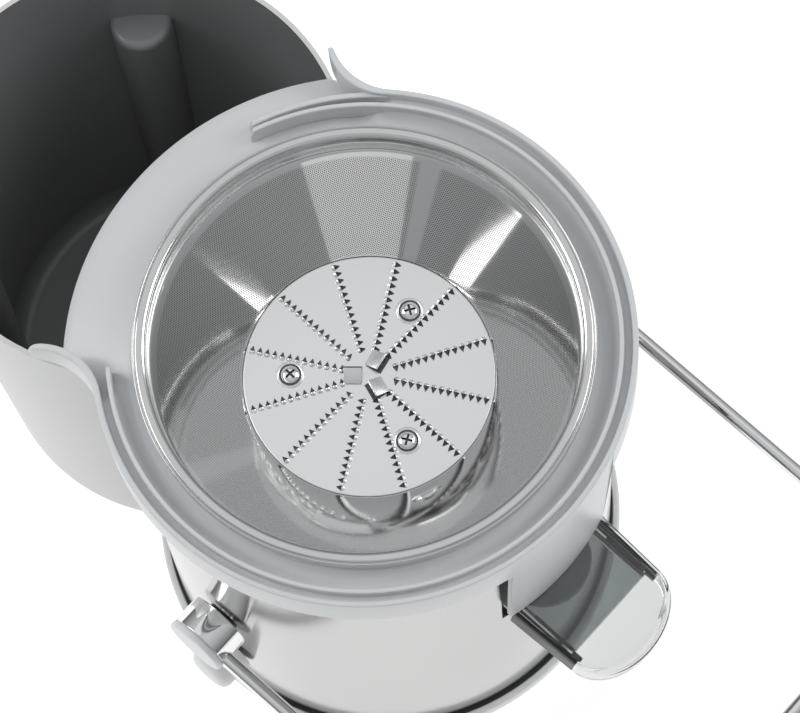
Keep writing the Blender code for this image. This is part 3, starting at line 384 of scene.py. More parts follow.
# Motor base inside the housing
# The deck, motor, switches and wiring blocks that show when the bowl is lifted off. Their solids are
# the right shape, so each keeps its solid and gets its own finish.
plain_steel = drawn_steel("plain_steel", (0.50, 0.51, 0.52), 0.30, 0.18, 40.0, 2500.0, 0.1)
black_nylon = moulded_plastic("black_nylon", (0.022, 0.022, 0.023), 0.40, 1.5)
carbon = moulded_plastic("pressed_carbon", (0.030, 0.030, 0.032), 0.60, 3.0)
wound_copper = drawn_steel("wound_copper", (0.62, 0.26, 0.12), 0.22, 0.20, 3.0, 9000.0, 0.6)
brass = drawn_steel("folded_brass", (0.70, 0.52, 0.24), 0.26, 0.15, 30.0, 2500.0, 0.1)
cast_zinc = drawn_steel("die_cast_zinc", (0.47, 0.48, 0.49), 0.42, 0.20, 300.0, 2500.0, 0.4)
laminated_steel = drawn_steel("laminated_steel", (0.36, 0.37, 0.38), 0.38, 0.20, 2.0, 4000.0, 0.8)
finish_node(base_grey, "motor_deck", "basket_base", "noise_capacitor", "terminal_block")
finish_node(plain_steel, "upper_bearing", "lower_bearing", "motor_bolt_1", "motor_bolt_2", "motor_shaft")
finish_node(laminated_steel, "stator_core", "armature_core")
finish_node(wound_copper, "field_coil_1", "field_coil_2", "commutator")
finish_node(cast_zinc, "lower_bracket")
finish_node(carbon, "carbon_brush_1", "carbon_brush_2")
finish_node(brass, "brush_holder_1", "brush_holder_2")
finish_node(black_nylon, "cooling_fan", "rotary_switch", "interlock_switch", "pivot_bush_near",
    "pivot_bush_far")
finish_node(black_rubber, "shaft_seal", "drive_coupling")


# Bowl
# Moulded in one piece in blue-grey ABS: juice chamber, hollow shelf, rib and groove for the lid, an
# outer wall whose ends curl out as ears, a chute over the pulp bin and a skirt over the spout.
bowl_grey = moulded_plastic("bowl_grey_abs", (0.655, 0.675, 0.685), 0.26, 0.5)
bowl_top = 0.2335
rim_outer = 0.1049
rim_wall = 0.0023
rim_middle = rim_outer - rim_wall / 2
band_low = 0.2150
skirt_low = 0.1450
skirt_half = 0.0290
ear_start = 127.0
ear_bend = 0.0250
far_ear_sweep = 76.0
near_ear_sweep = 86.0


def chute_height(radius):
    return 0.2246 + (0.2160 - 0.2246) * (radius - 0.0914) / (0.1180 - 0.0914)


shelf = [(0.0870, 0.2200), (0.0870, 0.2258), (0.08735, 0.2266), (0.0880, 0.2269), (0.0888, 0.2267),
    (0.0895, 0.2259), (0.0905, 0.2250), (0.0918, 0.2246)]
rim_side = shelf + [(0.0934, 0.2248), (0.0950, 0.2256), (0.0964, 0.2269), (0.0975, 0.2284),
    (0.0985, 0.2287), (0.0996, 0.2286), (0.1010, 0.2285), (0.1024, 0.2286), (0.1033, 0.2284),
    (0.1034, 0.2275), (0.1033, 0.2262), (0.1010, 0.2260), (0.0984, 0.2260), (0.0982, 0.2174),
    (0.0936, 0.2173), (0.0933, 0.2222), (0.0894, 0.2210), (0.0892, 0.2200)]
chute_side = shelf + [(r, chute_height(r)) for r in (0.0945, 0.0975, 0.1005, 0.1035, 0.1065, 0.1095,
    0.1125, 0.1150)]
chute_side += [(0.1170, 0.2158), (0.1178, 0.2153), (0.1180, 0.2146), (0.1176, 0.2140), (0.1168, 0.2139),
    (0.1158, 0.2147), (0.1120, chute_height(0.1120) - 0.0022), (0.1000, chute_height(0.1000) - 0.0024),
    (0.0912, 0.2214), (0.0892, 0.2200)]
shape = bmesh.new()
loops = []
steps = 288
for step in range(steps):
    degrees = 360 * step / steps
    off = abs(degrees - 180)
    share = max(0.0, min(1.0, (53.0 - off) / 11.0)) ** 2.3
    loop = []
    for (r1, z1), (r2, z2) in zip(rim_side, chute_side):
        radius = r1 + (r2 - r1) * share
        height = z1 + (z2 - z1) * (min(1.0, max(0.0, (54.0 - off) / 8.0)) if share < 1 else 1.0)
        loop.append(shape.verts.new((radius * math.cos(math.radians(degrees)),
            radius * math.sin(math.radians(degrees)), height)))
    loops.append(loop)
for step in range(steps):
    one, two = loops[step], loops[(step + 1) % steps]
    for index in range(len(one)):
        after = (index + 1) % len(one)
        shape.faces.new((one[index], two[index], two[after], one[after]))
turned(shape, rounded([(0.0892, 0.2205, 0), (0.0892, 0.1470, 0.0045), (0.0162, 0.1470, 0.0006),
    (0.0162, 0.1700, 0.0010), (0.0184, 0.1700, 0.0010), (0.0184, 0.1494, 0.0015),
    (0.0870, 0.1494, 0.0050), (0.0870, 0.2205, 0)]), 256)


def swept(shape, stations):
    """Skins closed sections that all have the same number of points, and closes both ends."""
    skins = [[shape.verts.new(point) for point in section] for section in stations]
    for one, two in zip(skins, skins[1:]):
        for index in range(len(one)):
            after = (index + 1) % len(one)
            shape.faces.new((one[index], one[after], two[after], two[index]))
    shape.faces.new(list(reversed(skins[0])))
    shape.faces.new(skins[-1])


def wall_section(spot, outwards, half, low, high, lean=0.0, top_round=0.0009, low_round=0.0004):
    """A wall's upright section: half its thickness to each side, rounded top and foot."""
    low_round = min(low_round, half * 0.9)
    top_round = min(top_round, half * 0.98, (high - low) * 0.45)
    flat = rounded([(half, high, top_round), (half - lean, low, low_round),
        (-half - lean, low, low_round), (-half, high, top_round)], 4)
    return [(spot[0] + outwards[0] * a, spot[1] + outwards[1] * a, z) for a, z in flat]


def ear(sweep, side):
    """An ear's wall sections from the rim to its rounded tip: a quarter turn that curls outwards."""
    ear_x = (rim_middle + ear_bend) * math.cos(math.radians(ear_start))
    ear_y = (rim_middle + ear_bend) * math.sin(math.radians(ear_start))
    sections = []
    for step in range(33):
        t = step / 32
        a = math.radians(ear_start + 180 - sweep * t)
        half = rim_wall / 2 + 0.0005 * math.sin(math.pi * min(1.0, t * 1.1))
        low = band_low + 0.0060 * max(0.0, (t - 0.15) / 0.85) ** 1.3
        high = bowl_top
        if t > 0.86:
            end = math.sqrt(max(0.0, 1 - ((t - 0.86) / 0.14) ** 2))
            middle = (low + high) / 2 + 0.001
            low = middle - (middle - low) * max(end, 0.12)
            high = middle + (high - middle) * max(end, 0.12)
            half *= max(end, 0.25) ** 0.5
        spot = (ear_x + ear_bend * math.cos(a), side * (ear_y + ear_bend * math.sin(a)))
        sections.append(wall_section(spot, (-math.cos(a), -side * math.sin(a)), half, low, high))
    return sections


stations = list(reversed(ear(far_ear_sweep, 1)))
front_edge = math.degrees(math.asin(skirt_half / rim_outer))
turns = [ear_start - (ear_start - front_edge) * step / 60 for step in range(1, 61)]
turns += [front_edge * (1 - step / 12) for step in range(1, 24)]
turns += [-front_edge - (ear_start - front_edge) * step / 60 for step in range(0, 60)]
for degrees in turns:
    a = math.radians(degrees)
    spot = (rim_middle * math.cos(a), rim_middle * math.sin(a))
    out = (math.cos(a), math.sin(a))
    stations.append(wall_section(spot, out, rim_wall / 2, band_low, bowl_top))
    if abs(abs(degrees) - front_edge) < 1e-6:
        pair = [stations[-1], wall_section(spot, out, rim_wall / 2, skirt_low, bowl_top, 0.0034)]
        if degrees < 0:
            stations[-1:] = [pair[1], pair[0]]
        else:
            stations[-1:] = pair
    elif abs(degrees) < front_edge:
        stations[-1] = wall_section(spot, out, rim_wall / 2, skirt_low, bowl_top, 0.0034)
stations += ear(near_ear_sweep, -1)
swept(shape, stations)


def rib(shape, radius, half, start, end, low_at, high_at, top_round):
    stations = []
    count = int(abs(end - start) * 1.2) + 6
    tip = 0.0022
    length = math.radians(abs(end - start)) * radius
    for step in range(count + 1):
        t = step / count
        t = 0.5 - 0.5 * math.cos(math.pi * t) if count < 60 else t
        a = math.radians(start + (end - start) * t)
        from_tip = min(t, 1 - t) * length
        narrow = math.sqrt(max(0.0, 1 - max(0.0, 1 - from_tip / tip) ** 2)) if from_tip < tip else 1.0
        degrees = math.degrees(a)
        low, high = low_at(degrees), high_at(degrees)
        high = low + (high - low) * (0.55 + 0.45 * narrow)
        stations.append(wall_section((radius * math.cos(a), radius * math.sin(a)),
            (math.cos(a), math.sin(a)), half * max(0.25, narrow), low, high, 0.0, top_round))
    swept(shape, stations)


rib(shape, 0.0985, 0.0010, -134.0, 159.0, lambda d: 0.2270 if abs(d) < 124 else 0.2205,
    lambda d: 0.2328, 0.0010)
rib(shape, 0.1034, 0.0012, 126.0, 158.0, lambda d: 0.2180,
    lambda d: 0.2315 - 0.0040 * (d - 126.0) / 32.0, 0.0009)


def block(shape, low, high, size=0.0005, matrix=None):
    """Adds a box with small rounded edges to a shape."""
    alone = bmesh.new()
    bmesh.ops.create_cube(alone, size=1.0)
    middle = (Vector(low) + Vector(high)) / 2
    scale = Vector(high) - Vector(low)
    bmesh.ops.transform(alone, matrix=Matrix.Translation(middle) @ Matrix.Diagonal((*scale, 1)),
        verts=alone.verts)
    if size > 0:
        bmesh.ops.bevel(alone, geom=alone.edges[:], offset=size, segments=3, profile=0.5, affect="EDGES")
    if matrix is not None:
        bmesh.ops.transform(alone, matrix=matrix, verts=alone.verts)
    carrier = bpy.data.meshes.new("carrier")
    alone.to_mesh(carrier)
    alone.free()
    shape.from_mesh(carrier)
    bpy.data.meshes.remove(carrier)


for side in (-1, 1):
    edges = sorted((side * (skirt_half - 0.0024), side * (skirt_half - 0.0002)))
    block(shape, (0.0835, edges[0], skirt_low + 0.0002), (0.0890, edges[1], 0.2172))
cup_x = rim_outer - 0.0034 + 0.0080 - 0.0195
cup_top = 0.1388
block(shape, (0.0820, -0.0265, skirt_low + 0.0002), (0.0972, 0.0265, skirt_low + 0.0024))
turned(shape, rounded([(0, cup_top, 0), (0.0195, cup_top, 0.0016), (0.0195, 0.1345, 0.0004),
    (0.0179, 0.1345, 0.0004), (0.0179, cup_top - 0.0018, 0.0012), (0, cup_top - 0.0018, 0)]), 96, False,
    Matrix.Translation((cup_x, 0, 0)))
block(shape, (cup_x - 0.0160, -0.0150, cup_top - 0.0020), (0.0955, 0.0150, skirt_low + 0.0020))
finished("juice_bowl_moulding", shape, bowl_grey, "bowl", ["juice_bowl"])


# Sieve basket
# A chromed rolled rim crimped to a thin stainless cone that is etched with a fine sieve, welded
# into a cone along one plain seam, and closed by the grater disc.
chrome = drawn_steel("chrome", (0.86, 0.86, 0.86), 0.035, 0.03, 20.0, 300.0, 0.0)
rim_steel = drawn_steel("rolled_rim_steel", (0.66, 0.66, 0.66), 0.10, 0.05, 4.0, 1500.0, 0.02)
shape = turned(bmesh.new(), rounded([(0.0890, 0.2346, 0.0009), (0.0890, 0.2296, 0.0008),
    (0.0838, 0.2295, 0.0003), (0.0838, 0.2341, 0.0010), (0.0852, 0.2350, 0.0016),
    (0.0876, 0.2350, 0.0010), (0.0881, 0.2342, 0.0003), (0.0884, 0.2346, 0.0003)], 8), 288)
finished("basket_rolled_rim", shape, rim_steel, "basket", ["basket_rim"])

perforated, given, made = make_group("etched_sieve", [("Pitch", "NodeSocketFloat", 0.0009),
    ("Hole", "NodeSocketFloat", 0.27)], [("Hole", "NodeSocketFloat")])
sheet_place = perforated.nodes.new("ShaderNodeUVMap")
sheet_place.uv_map = "sheet"
spread = perforated.nodes.new("ShaderNodeSeparateXYZ")
perforated.links.new(sheet_place.outputs["UV"], spread.inputs["Vector"])


across = math_node(perforated, "DIVIDE", spread.outputs["X"], given.outputs["Pitch"])
down = math_node(perforated, "DIVIDE", spread.outputs["Y"], given.outputs["Pitch"])
down = math_node(perforated, "DIVIDE", down, math.sqrt(3))
nearest = []
for shift in (0.0, 0.5):
    dx = math_node(perforated, "SUBTRACT", math_node(perforated, "FRACT",
        math_node(perforated, "ADD", across, shift)), 0.5)
    dy = math_node(perforated, "SUBTRACT", math_node(perforated, "FRACT",
        math_node(perforated, "ADD", down, shift)), 0.5)
    dy = math_node(perforated, "MULTIPLY", dy, math.sqrt(3))
    squared = math_node(perforated, "ADD", math_node(perforated, "MULTIPLY", dx, dx),
        math_node(perforated, "MULTIPLY", dy, dy))
    nearest.append(math_node(perforated, "SQRT", squared))
distance = math_node(perforated, "MINIMUM", *nearest)
hole = perforated.nodes.new("ShaderNodeMapRange")
hole.interpolation_type = "SMOOTHSTEP"
perforated.links.new(distance, hole.inputs["Value"])
inner_edge = math_node(perforated, "SUBTRACT", given.outputs["Hole"], 0.06)
outer_edge = math_node(perforated, "ADD", given.outputs["Hole"], 0.06)
perforated.links.new(inner_edge, hole.inputs["From Min"])
perforated.links.new(outer_edge, hole.inputs["From Max"])
hole.inputs["To Min"].default_value = 1.0
hole.inputs["To Max"].default_value = 0.0
etched_area = perforated.nodes.new("ShaderNodeAttribute")
etched_area.attribute_name = "etched"
masked = math_node(perforated, "MULTIPLY", hole.outputs["Result"], etched_area.outputs["Fac"])
perforated.links.new(masked, made.inputs["Hole"])

sieve_steel, tree, shader = new_material("etched_sieve_steel", (0.78, 0.78, 0.78), 0.05, 1.0)
sieve_group = tree.nodes.new("ShaderNodeGroup")
sieve_group.node_tree = perforated
line_group = tree.nodes.new("ShaderNodeGroup")
line_group.node_tree = brushed
line_group.inputs["Around"].default_value = 60.0
line_group.inputs["Along"].default_value = 900.0
line_group.inputs["Roughness"].default_value = 0.03
line_group.inputs["Spread"].default_value = 0.05
# the etched holes are painted near-black: painted shade seen through them, fainter where the sheet is seen
# at a slant
mix = tree.nodes.new("ShaderNodeMix")
mix.data_type = "RGBA"
mix.inputs["A"].default_value = (0.80, 0.80, 0.80, 1)
mix.inputs["B"].default_value = (0.02, 0.02, 0.02, 1)
slant_view = tree.nodes.new("ShaderNodeLayerWeight")
shallow = map_range(tree, slant_view.outputs["Facing"], 1.0, 0.12, 0.15, 0.55)
darkened = math_node(tree, "MULTIPLY", sieve_group.outputs["Hole"], shallow)
tree.links.new(darkened, mix.inputs["Factor"])
tree.links.new(mix.outputs["Result"], shader.inputs["Base Color"])
tree.links.new(line_group.outputs["Roughness"], shader.inputs["Roughness"])
pits = tree.nodes.new("ShaderNodeBump")
pits.inputs["Strength"].default_value = 0.02
pits.inputs["Distance"].default_value = 0.0001
pits.invert = True
tree.links.new(sieve_group.outputs["Hole"], pits.inputs["Height"])
tree.links.new(pits.outputs["Normal"], shader.inputs["Normal"])


# the cone's sheet is laid out flat for the sieve's pattern, so its rows stay even from rim to foot
cone_top, cone_foot = (0.0835, 0.2235), (0.0504, 0.1927)
slant = math.hypot(cone_top[0] - cone_foot[0], cone_top[1] - cone_foot[1])
opening = (cone_top[0] - cone_foot[0]) / slant
seam_bearing = 113.5
etched_low, etched_high = 0.1930, 0.2212
line = [(0.0843, 0.2292), (0.0842, 0.2275), (0.0841, 0.2258), (0.0838, 0.2248), (0.0833, 0.2243),
    (0.0835, 0.2238)]
line += [(cone_top[0] + (cone_foot[0] - cone_top[0]) * t / 48,
    cone_top[1] + (cone_foot[1] - cone_top[1]) * t / 48) for t in range(49)]
line += [(0.0503, 0.1900), (0.0504, 0.1875)]
shape = bmesh.new()
flat = shape.loops.layers.uv.new("sheet")
etched = shape.verts.layers.float.new("etched")
steps = 288
grid = []
for radius, height in line:
    row = []
    for step in range(steps):
        a = math.radians(seam_bearing) + 2 * math.pi * step / steps
        vertex = shape.verts.new((radius * math.cos(a), radius * math.sin(a), height))
        near_seam = min(step, steps - step) <= 2
        vertex[etched] = 0.0 if near_seam or not etched_low <= height <= etched_high else 1.0
        row.append(vertex)
    grid.append(row)
for row in range(len(line) - 1):
    for step in range(steps):
        after = (step + 1) % steps
        face = shape.faces.new((grid[row][step], grid[row][after], grid[row + 1][after],
            grid[row + 1][step]))
        places = []
        for down_row, around in ((row, step), (row, step + 1), (row + 1, step + 1), (row + 1, step)):
            radius, height = line[down_row]
            reach = radius / opening
            swing = 2 * math.pi * around / steps * opening
            places.append((reach * math.cos(swing), reach * math.sin(swing)))
        for corner, spot in zip(face.loops, places):
            corner[flat].uv = spot
spot_welds, weld_radius, weld_height = 30, cone_top[0] - 0.0016, 0.2222
for step in range(spot_welds):
    a = 2 * math.pi * step / spot_welds
    weld = Matrix.Rotation(a, 4, "Z") @ Matrix.Translation((weld_radius, 0, weld_height))
    weld = weld @ Matrix.Rotation(math.radians(-43), 4, "Y")
    turned(shape, [(0, 0.00022), (0.0006, 0.00018), (0.0010, 0.00004), (0.0011, -0.0001), (0, -0.0001)],
        16, False, weld)
sieve = finished("sieve_cone_sheet", shape, sieve_steel, "basket", ["sieve_cone"])
sheet = sieve.modifiers.new("sheet", "SOLIDIFY")
sheet.thickness = 0.0005
sheet.offset = -1.0


# Grater disc
# Pressed stainless disc with twelve rows of punched teeth and three lances bent up round its
# middle, held to the basket's base by three cross-head screws in shallow dimples.
def hidden(name, shape):
    """A solid used only to shape another one."""
    bmesh.ops.recalc_face_normals(shape, faces=shape.faces)
    mesh = bpy.data.meshes.new(name)
    shape.to_mesh(mesh)
    shape.free()
    tool = bpy.data.objects.new(name, mesh)
    bpy.context.scene.collection.objects.link(tool)
    return tool


def combine(target, tools):
    """Joins or cuts solids into a target once and for all, and clears the tools away."""
    for tool, operation in tools:
        step = target.modifiers.new(tool.name, "BOOLEAN")
        step.operation = operation
        step.solver = "EXACT"
        step.object = tool
    bpy.context.view_layer.update()
    graph = bpy.context.evaluated_depsgraph_get()
    mesh = bpy.data.meshes.new_from_object(target.evaluated_get(graph))
    target.modifiers.clear()
    target.data = mesh
    for tool, operation in tools:
        bpy.data.objects.remove(tool)
    return target


disc_steel = drawn_steel("satin_disc_steel", (0.84, 0.84, 0.84), 0.24, 0.12, 900.0, 300.0, 0.08)
# dark steel that paints the shade on the teeth's points, round the screw heads, in their cross recesses
# and in the windows
shade_painted_steel = drawn_steel("dark_steel_painted_shade", (0.10, 0.10, 0.105), 0.35, 0.10, 900.0, 300.0, 0.08)
disc_top, disc_radius = 0.1930, 0.0497
shape = bmesh.new()
turned(shape, rounded([(0, disc_top, 0), (disc_radius, disc_top, 0.0006),
    (disc_radius, disc_top - 0.0012, 0.0004), (0, disc_top - 0.0012, 0)]), 192, False)
screw_angle, screw_circle = -19.3, 0.0310
tooth_rows, row_teeth, first_tooth, tooth_step = 12, 13, 0.0110, 0.00302
for row in range(tooth_rows):
    spin = Matrix.Rotation(math.radians(-1.5 + 30 * row), 4, "Z")
    for tooth in range(row_teeth):
        centre = spin @ Matrix.Translation((first_tooth + tooth * tooth_step, 0.0004, disc_top))
        # half a dome, open on its clockwise side
        arches = []
        for lift in (-0.04, 0.35, 0.75, 1.15):
            arches.append([shape.verts.new(centre @ Vector((0.00132 * math.cos(math.pi * step / 8)
                * math.cos(lift), 0.00130 * math.sin(math.pi * step / 8) * math.cos(lift),
                0.00105 * math.sin(lift)))) for step in range(9)])
        crown = shape.verts.new(centre @ Vector((0, 0, 0.00105)))
        for one, two in zip(arches, arches[1:]):
            for step in range(8):
                shape.faces.new((one[step], one[step + 1], two[step + 1], two[step]))
        for step in range(8):
            shape.faces.new((arches[-1][step], arches[-1][step + 1], crown))
        shape.faces.new([arch[0] for arch in arches] + [crown] + [arch[-1] for arch in reversed(arches)])
        shape.faces.new(list(reversed(arches[0])))
        # the cutting point that leads it, in dark steel: painted shade
        corners = [shape.verts.new(centre @ Vector(spot))
            for spot in ((-0.00122, 0, 0), (0.00122, 0, 0), (0, -0.0001, 0.0010), (0, -0.0023, 0.0005))]
        for index in ((0, 2, 3), (2, 1, 3), (0, 3, 1), (0, 1, 2)):
            shape.faces.new([corners[i] for i in index]).material_index = 1
for index in range(3):
    a = math.radians(screw_angle + 120 * index)
    dimple = Matrix.Translation((screw_circle * math.cos(a), screw_circle * math.sin(a), 0))
    turned(shape, rounded([(0.0057, disc_top - 0.0001, 0), (0.0052, disc_top + 0.00040, 0.0004),
        (0.0044, disc_top + 0.0001, 0.0003), (0.0044, disc_top - 0.0003, 0),
        (0.0052, disc_top - 0.0004, 0)]), 40, True, dimple)
    # a dark ring round the screw head in its dimple: painted shade in the gap
    before = len(shape.faces)
    turned(shape, [(0.0045, disc_top + 0.00006), (0.0036, disc_top + 0.00006),
        (0.0036, disc_top - 0.0002), (0.0045, disc_top - 0.0002)], 40, True, dimple)
    shape.faces.ensure_lookup_table()
    for face in shape.faces[before:]:
        face.material_index = 1
    # a window punched beside the middle, with its tab bent up behind it; the window is a flat dark patch:
    # painted shade
    stand = Matrix.Rotation(a, 4, "Z") @ Matrix.Translation((0.0064, 0.0034, disc_top))
    before = len(shape.faces)
    block(shape, (-0.0037, -0.0070, -0.0002), (0.0037, -0.0004, 0.00006), 0, stand)
    shape.faces.ensure_lookup_table()
    for face in shape.faces[before:]:
        face.material_index = 1
    block(shape, (-0.0036, -0.0062, 0.0000), (0.0036, 0, 0.0009), 0.0002,
        stand @ Matrix.Rotation(math.radians(-26), 4, "X"))
disc = finished("grater_disc_pressing", shape, disc_steel, "basket", ["grater_disc"], 30.0)
disc.data.materials.append(shade_painted_steel)
for index in range(3):
    a = math.radians(screw_angle + 120 * index)
    shape = bmesh.new()
    turned(shape, rounded([(0, disc_top + 0.0017, 0), (0.0024, disc_top + 0.0014, 0.0008),
        (0.0037, disc_top + 0.0005, 0.0004), (0.0037, disc_top - 0.0006, 0),
        (0, disc_top - 0.0006, 0)]), 40, False)
    place = spindle + Vector((screw_circle * math.cos(a), screw_circle * math.sin(a), 0))
    head = hidden("screw_head", shape)
    for spin in (0, 90):
        wedge = Matrix.Rotation(a + math.radians(45 + spin), 4, "Z")
        cross = bmesh.new()
        block(cross, (-0.0023, -0.00045, disc_top + 0.0002), (0.0023, 0.00045, disc_top + 0.003), 0, wedge)
        combine(head, [(hidden("cross", cross), "DIFFERENCE")])
    shape = bmesh.new()
    shape.from_mesh(head.data)
    bpy.data.objects.remove(head)
    # the faces down in the cross recess take the dark steel: painted shade
    for face in shape.faces:
        middle = face.calc_center_median()
        deep = math.hypot(middle.x, middle.y) < 0.0024 and disc_top < middle.z < disc_top + 0.0013
        face.material_index = 1 if deep else 0
    piece = finished(f"grater_screw_head_{index + 1}", shape, chrome, "basket",
        [f"grater_screw_{index + 1}"], 30.0, place)
    piece.data.materials.append(shade_painted_steel)


# Spout
# A smoke-tinted duct clips under the skirt and slopes forward; a clear hood with a drooping round
# nose slides over it and turns the juice down into the jug.
def clear_plastic(name, tint, roughness):
    material, tree, shader = new_material(name, tint, roughness)
    shader.inputs["Transmission Weight"].default_value = 1.0
    shader.inputs["IOR"].default_value = 1.46
    haze = tree.nodes.new("ShaderNodeTexNoise")
    haze.inputs["Scale"].default_value = 60.0
    haze.inputs["Detail"].default_value = 3.0
    spread = map_range(tree, haze.outputs["Fac"], roughness * 0.5, roughness * 1.6)
    tree.links.new(spread, shader.inputs["Roughness"])
    see_through = tree.nodes.new("ShaderNodeBsdfTransparent")
    see_through.inputs["Color"].default_value = (*[channel ** 1.5 for channel in tint], 1)
    path = tree.nodes.new("ShaderNodeLightPath")
    pick = tree.nodes.new("ShaderNodeMixShader")
    tree.links.new(path.outputs["Is Shadow Ray"], pick.inputs[0])
    tree.links.new(shader.outputs["BSDF"], pick.inputs[1])
    tree.links.new(see_through.outputs["BSDF"], pick.inputs[2])
    tree.links.new(pick.outputs["Shader"], tree.nodes["Material Output"].inputs["Surface"])
    return material


smoke = clear_plastic("smoke_styrene", (0.50, 0.53, 0.53), 0.04)
clear = clear_plastic("clear_styrene", (0.72, 0.725, 0.725), 0.03)
# near-black opaque plastic for the tinted walls seen edgewise: painted shade
smoke_wall_painted_shade = moulded_plastic("smoke_styrene_painted_shade", (0.020, 0.022, 0.023), 0.32, 0.2)
hinge = spindle + Vector((housing_radius, 0.0011, 0.1420))
slope = Matrix.Translation(hinge) @ Matrix.Rotation(math.radians(7.0), 4,
    "Y") @ Matrix.Translation(-Vector((housing_radius, 0, 0.1420)))


def sloped(piece):
    piece.matrix_basis = piece.parent.matrix_world.inverted() @ slope
    return piece


duct_half, duct_outer, duct_reach = 0.0213, 0.0243, 0.1250
duct_low, duct_top = 0.1305, 0.1420
shape = bmesh.new()
sections = []
for x in (0.0680, duct_reach):
    outer = rounded([(duct_outer, duct_top, 0.0010), (duct_outer, duct_low, 0.0010),
        (-duct_outer, duct_low, 0.0010), (-duct_outer, duct_top, 0.0010)], 4)
    inner = rounded([(duct_half, duct_top - 0.0016, 0.0008), (duct_half, duct_low + 0.0016, 0.0008),
        (-duct_half, duct_low + 0.0016, 0.0008), (-duct_half, duct_top - 0.0016, 0.0008)], 4)
    sections.append([[shape.verts.new((x, y, z)) for y, z in loop] for loop in (outer, inner)])
count = len(sections[0][0])
for index in range(count):
    after = (index + 1) % count
    back, front = sections
    shape.faces.new((back[0][index], back[0][after], front[0][after], front[0][index]))
    shape.faces.new((back[1][index], front[1][index], front[1][after], back[1][after]))
    shape.faces.new((front[0][index], front[0][after], front[1][after], front[1][index]))
    shape.faces.new((back[0][index], back[1][index], back[1][after], back[0][after]))
for side in (-1, 1):
    rails = sorted((side * (duct_half - 0.0004), side * (duct_half + 0.0012)))
    block(shape, (0.1040, rails[0], duct_top - 0.0002),
        (duct_reach - 0.0010, rails[1], duct_top + 0.0003), 0.00015)
    lugs = sorted((side * (duct_half + 0.0002), side * (duct_outer - 0.0004)))
    block(shape, (duct_reach - 0.0004, lugs[0], duct_top - 0.0045),
        (duct_reach + 0.0042, lugs[1], duct_top - 0.0002), 0.0003)
duct = finished("spout_duct_moulding", shape, smoke, "bowl", ["spout_duct"], 40.0)
sloped(duct)
duct.data.materials.append(smoke_wall_painted_shade)
# the duct's side walls take the near-black plastic: painted shade
for face in duct.data.polygons:
    if abs(face.center.y) > duct_half - 0.0003:
        face.material_index = 1

hood_half, hood_corner, hood_straight, hood_nose = 0.02735, 0.02605, 0.1285, 0.0185
hood_top, hood_low, hood_back, hood_round = 0.1442, 0.1305, 0.0970, 0.0040


def hood_line(inset, drop, back):
    """The hood's plan outline: two nearly straight sides and a round nose, narrower near its top."""
    narrower = inset + 0.0012 * (1 - math.sqrt(1 - (1 - drop) ** 2))
    points = [(back, narrower - hood_half), (0.1080, narrower + 0.0004 - hood_half),
        (0.1190, narrower + 0.0009 - hood_half)]
    for step in range(49):
        a = math.radians(-90 + 180 * step / 48)
        pull = hood_round * (1 - drop) ** 2 * math.cos(a)
        points.append((hood_straight + (hood_nose - narrower - pull) * math.cos(a),
            (hood_corner - narrower) * math.sin(a)))
    return points + [(x, -y) for x, y in reversed(points[:3])]


def drooped(x, y, z):
    """The nose falls away towards its tip."""
    past = max(0.0, (x - 0.1255) / (hood_straight + hood_nose - 0.1255))
    return (x, y, z - 0.0050 * past ** 2)


def hood_solid(name, inset, low, top, back):
    rings = [[drooped(x, y, low) for x, y in hood_line(inset, 1.0, back)]]
    for bend in (0, 15, 30, 45, 60, 75, 90):
        drop = 1 - math.sin(math.radians(bend))
        rings.append([drooped(x, y, top - hood_round * drop) for x, y in hood_line(inset, drop, back)])
    for scale in (0.88, 0.70, 0.50, 0.25):
        rings.append([drooped(0.1180 + (x - 0.1180) * scale, y * scale, top) for x,
            y in hood_line(inset, 0.0, back)])
    shape = bmesh.new()
    swept(shape, rings)
    return hidden(name, shape)


hood_skin = 0.0014
hood = hood_solid("hood_outside", 0.0, hood_low, hood_top, hood_back)
hollow = hood_solid("hood_inside", hood_skin, hood_low - 0.01, hood_top - hood_skin, hood_back - 0.01)
combine(hood, [(hollow, "DIFFERENCE")])
shape = bmesh.new()
shape.from_mesh(hood.data)
bpy.data.objects.remove(hood)
hood = finished("spout_hood_moulding", shape, clear, "hood", ["spout_hood"], 50.0)
sloped(hood)
# its straight side walls lie against the duct's rails and take the same near-black plastic: painted shade
hood.data.materials.append(smoke_wall_painted_shade)
for face in hood.data.polygons:
    if abs(face.normal.y) > 0.7 and face.center.x < 0.1275:
        face.material_index = 1


# Bail
# A chromed steel rod bent to a U; each end is pressed into a chromed hub that turns on a pin in
# the housing and is closed by a pale moulded cap.
pivot_height, rod_radius, arm_y = 0.0990, 0.00325, rim_outer + 0.00325 + 0.0005
bail_length, bail_corner, bail_slope = 0.2000, 0.0300, math.radians(5.0)
route = []
rod_start, corner_x = 0.0070, bail_length - bail_corner
for step in range(25):
    route.append((rod_start + (corner_x - rod_start) * step / 24, -arm_y))
for step in range(1, 17):
    a = math.radians(-90 + 90 * step / 16)
    route.append((corner_x + bail_corner * math.cos(a), -arm_y + bail_corner + bail_corner * math.sin(a)))
for step in range(1, 17):
    route.append((bail_length, -arm_y + bail_corner + (2 * arm_y - 2 * bail_corner) * step / 16))
for step in range(1, 17):
    a = math.radians(90 * step / 16)
    route.append((corner_x + bail_corner * math.cos(a), arm_y - bail_corner + bail_corner * math.sin(a)))
for step in range(1, 25):
    route.append((corner_x - (corner_x - rod_start) * step / 24, arm_y))
shape = bmesh.new()
stations = []
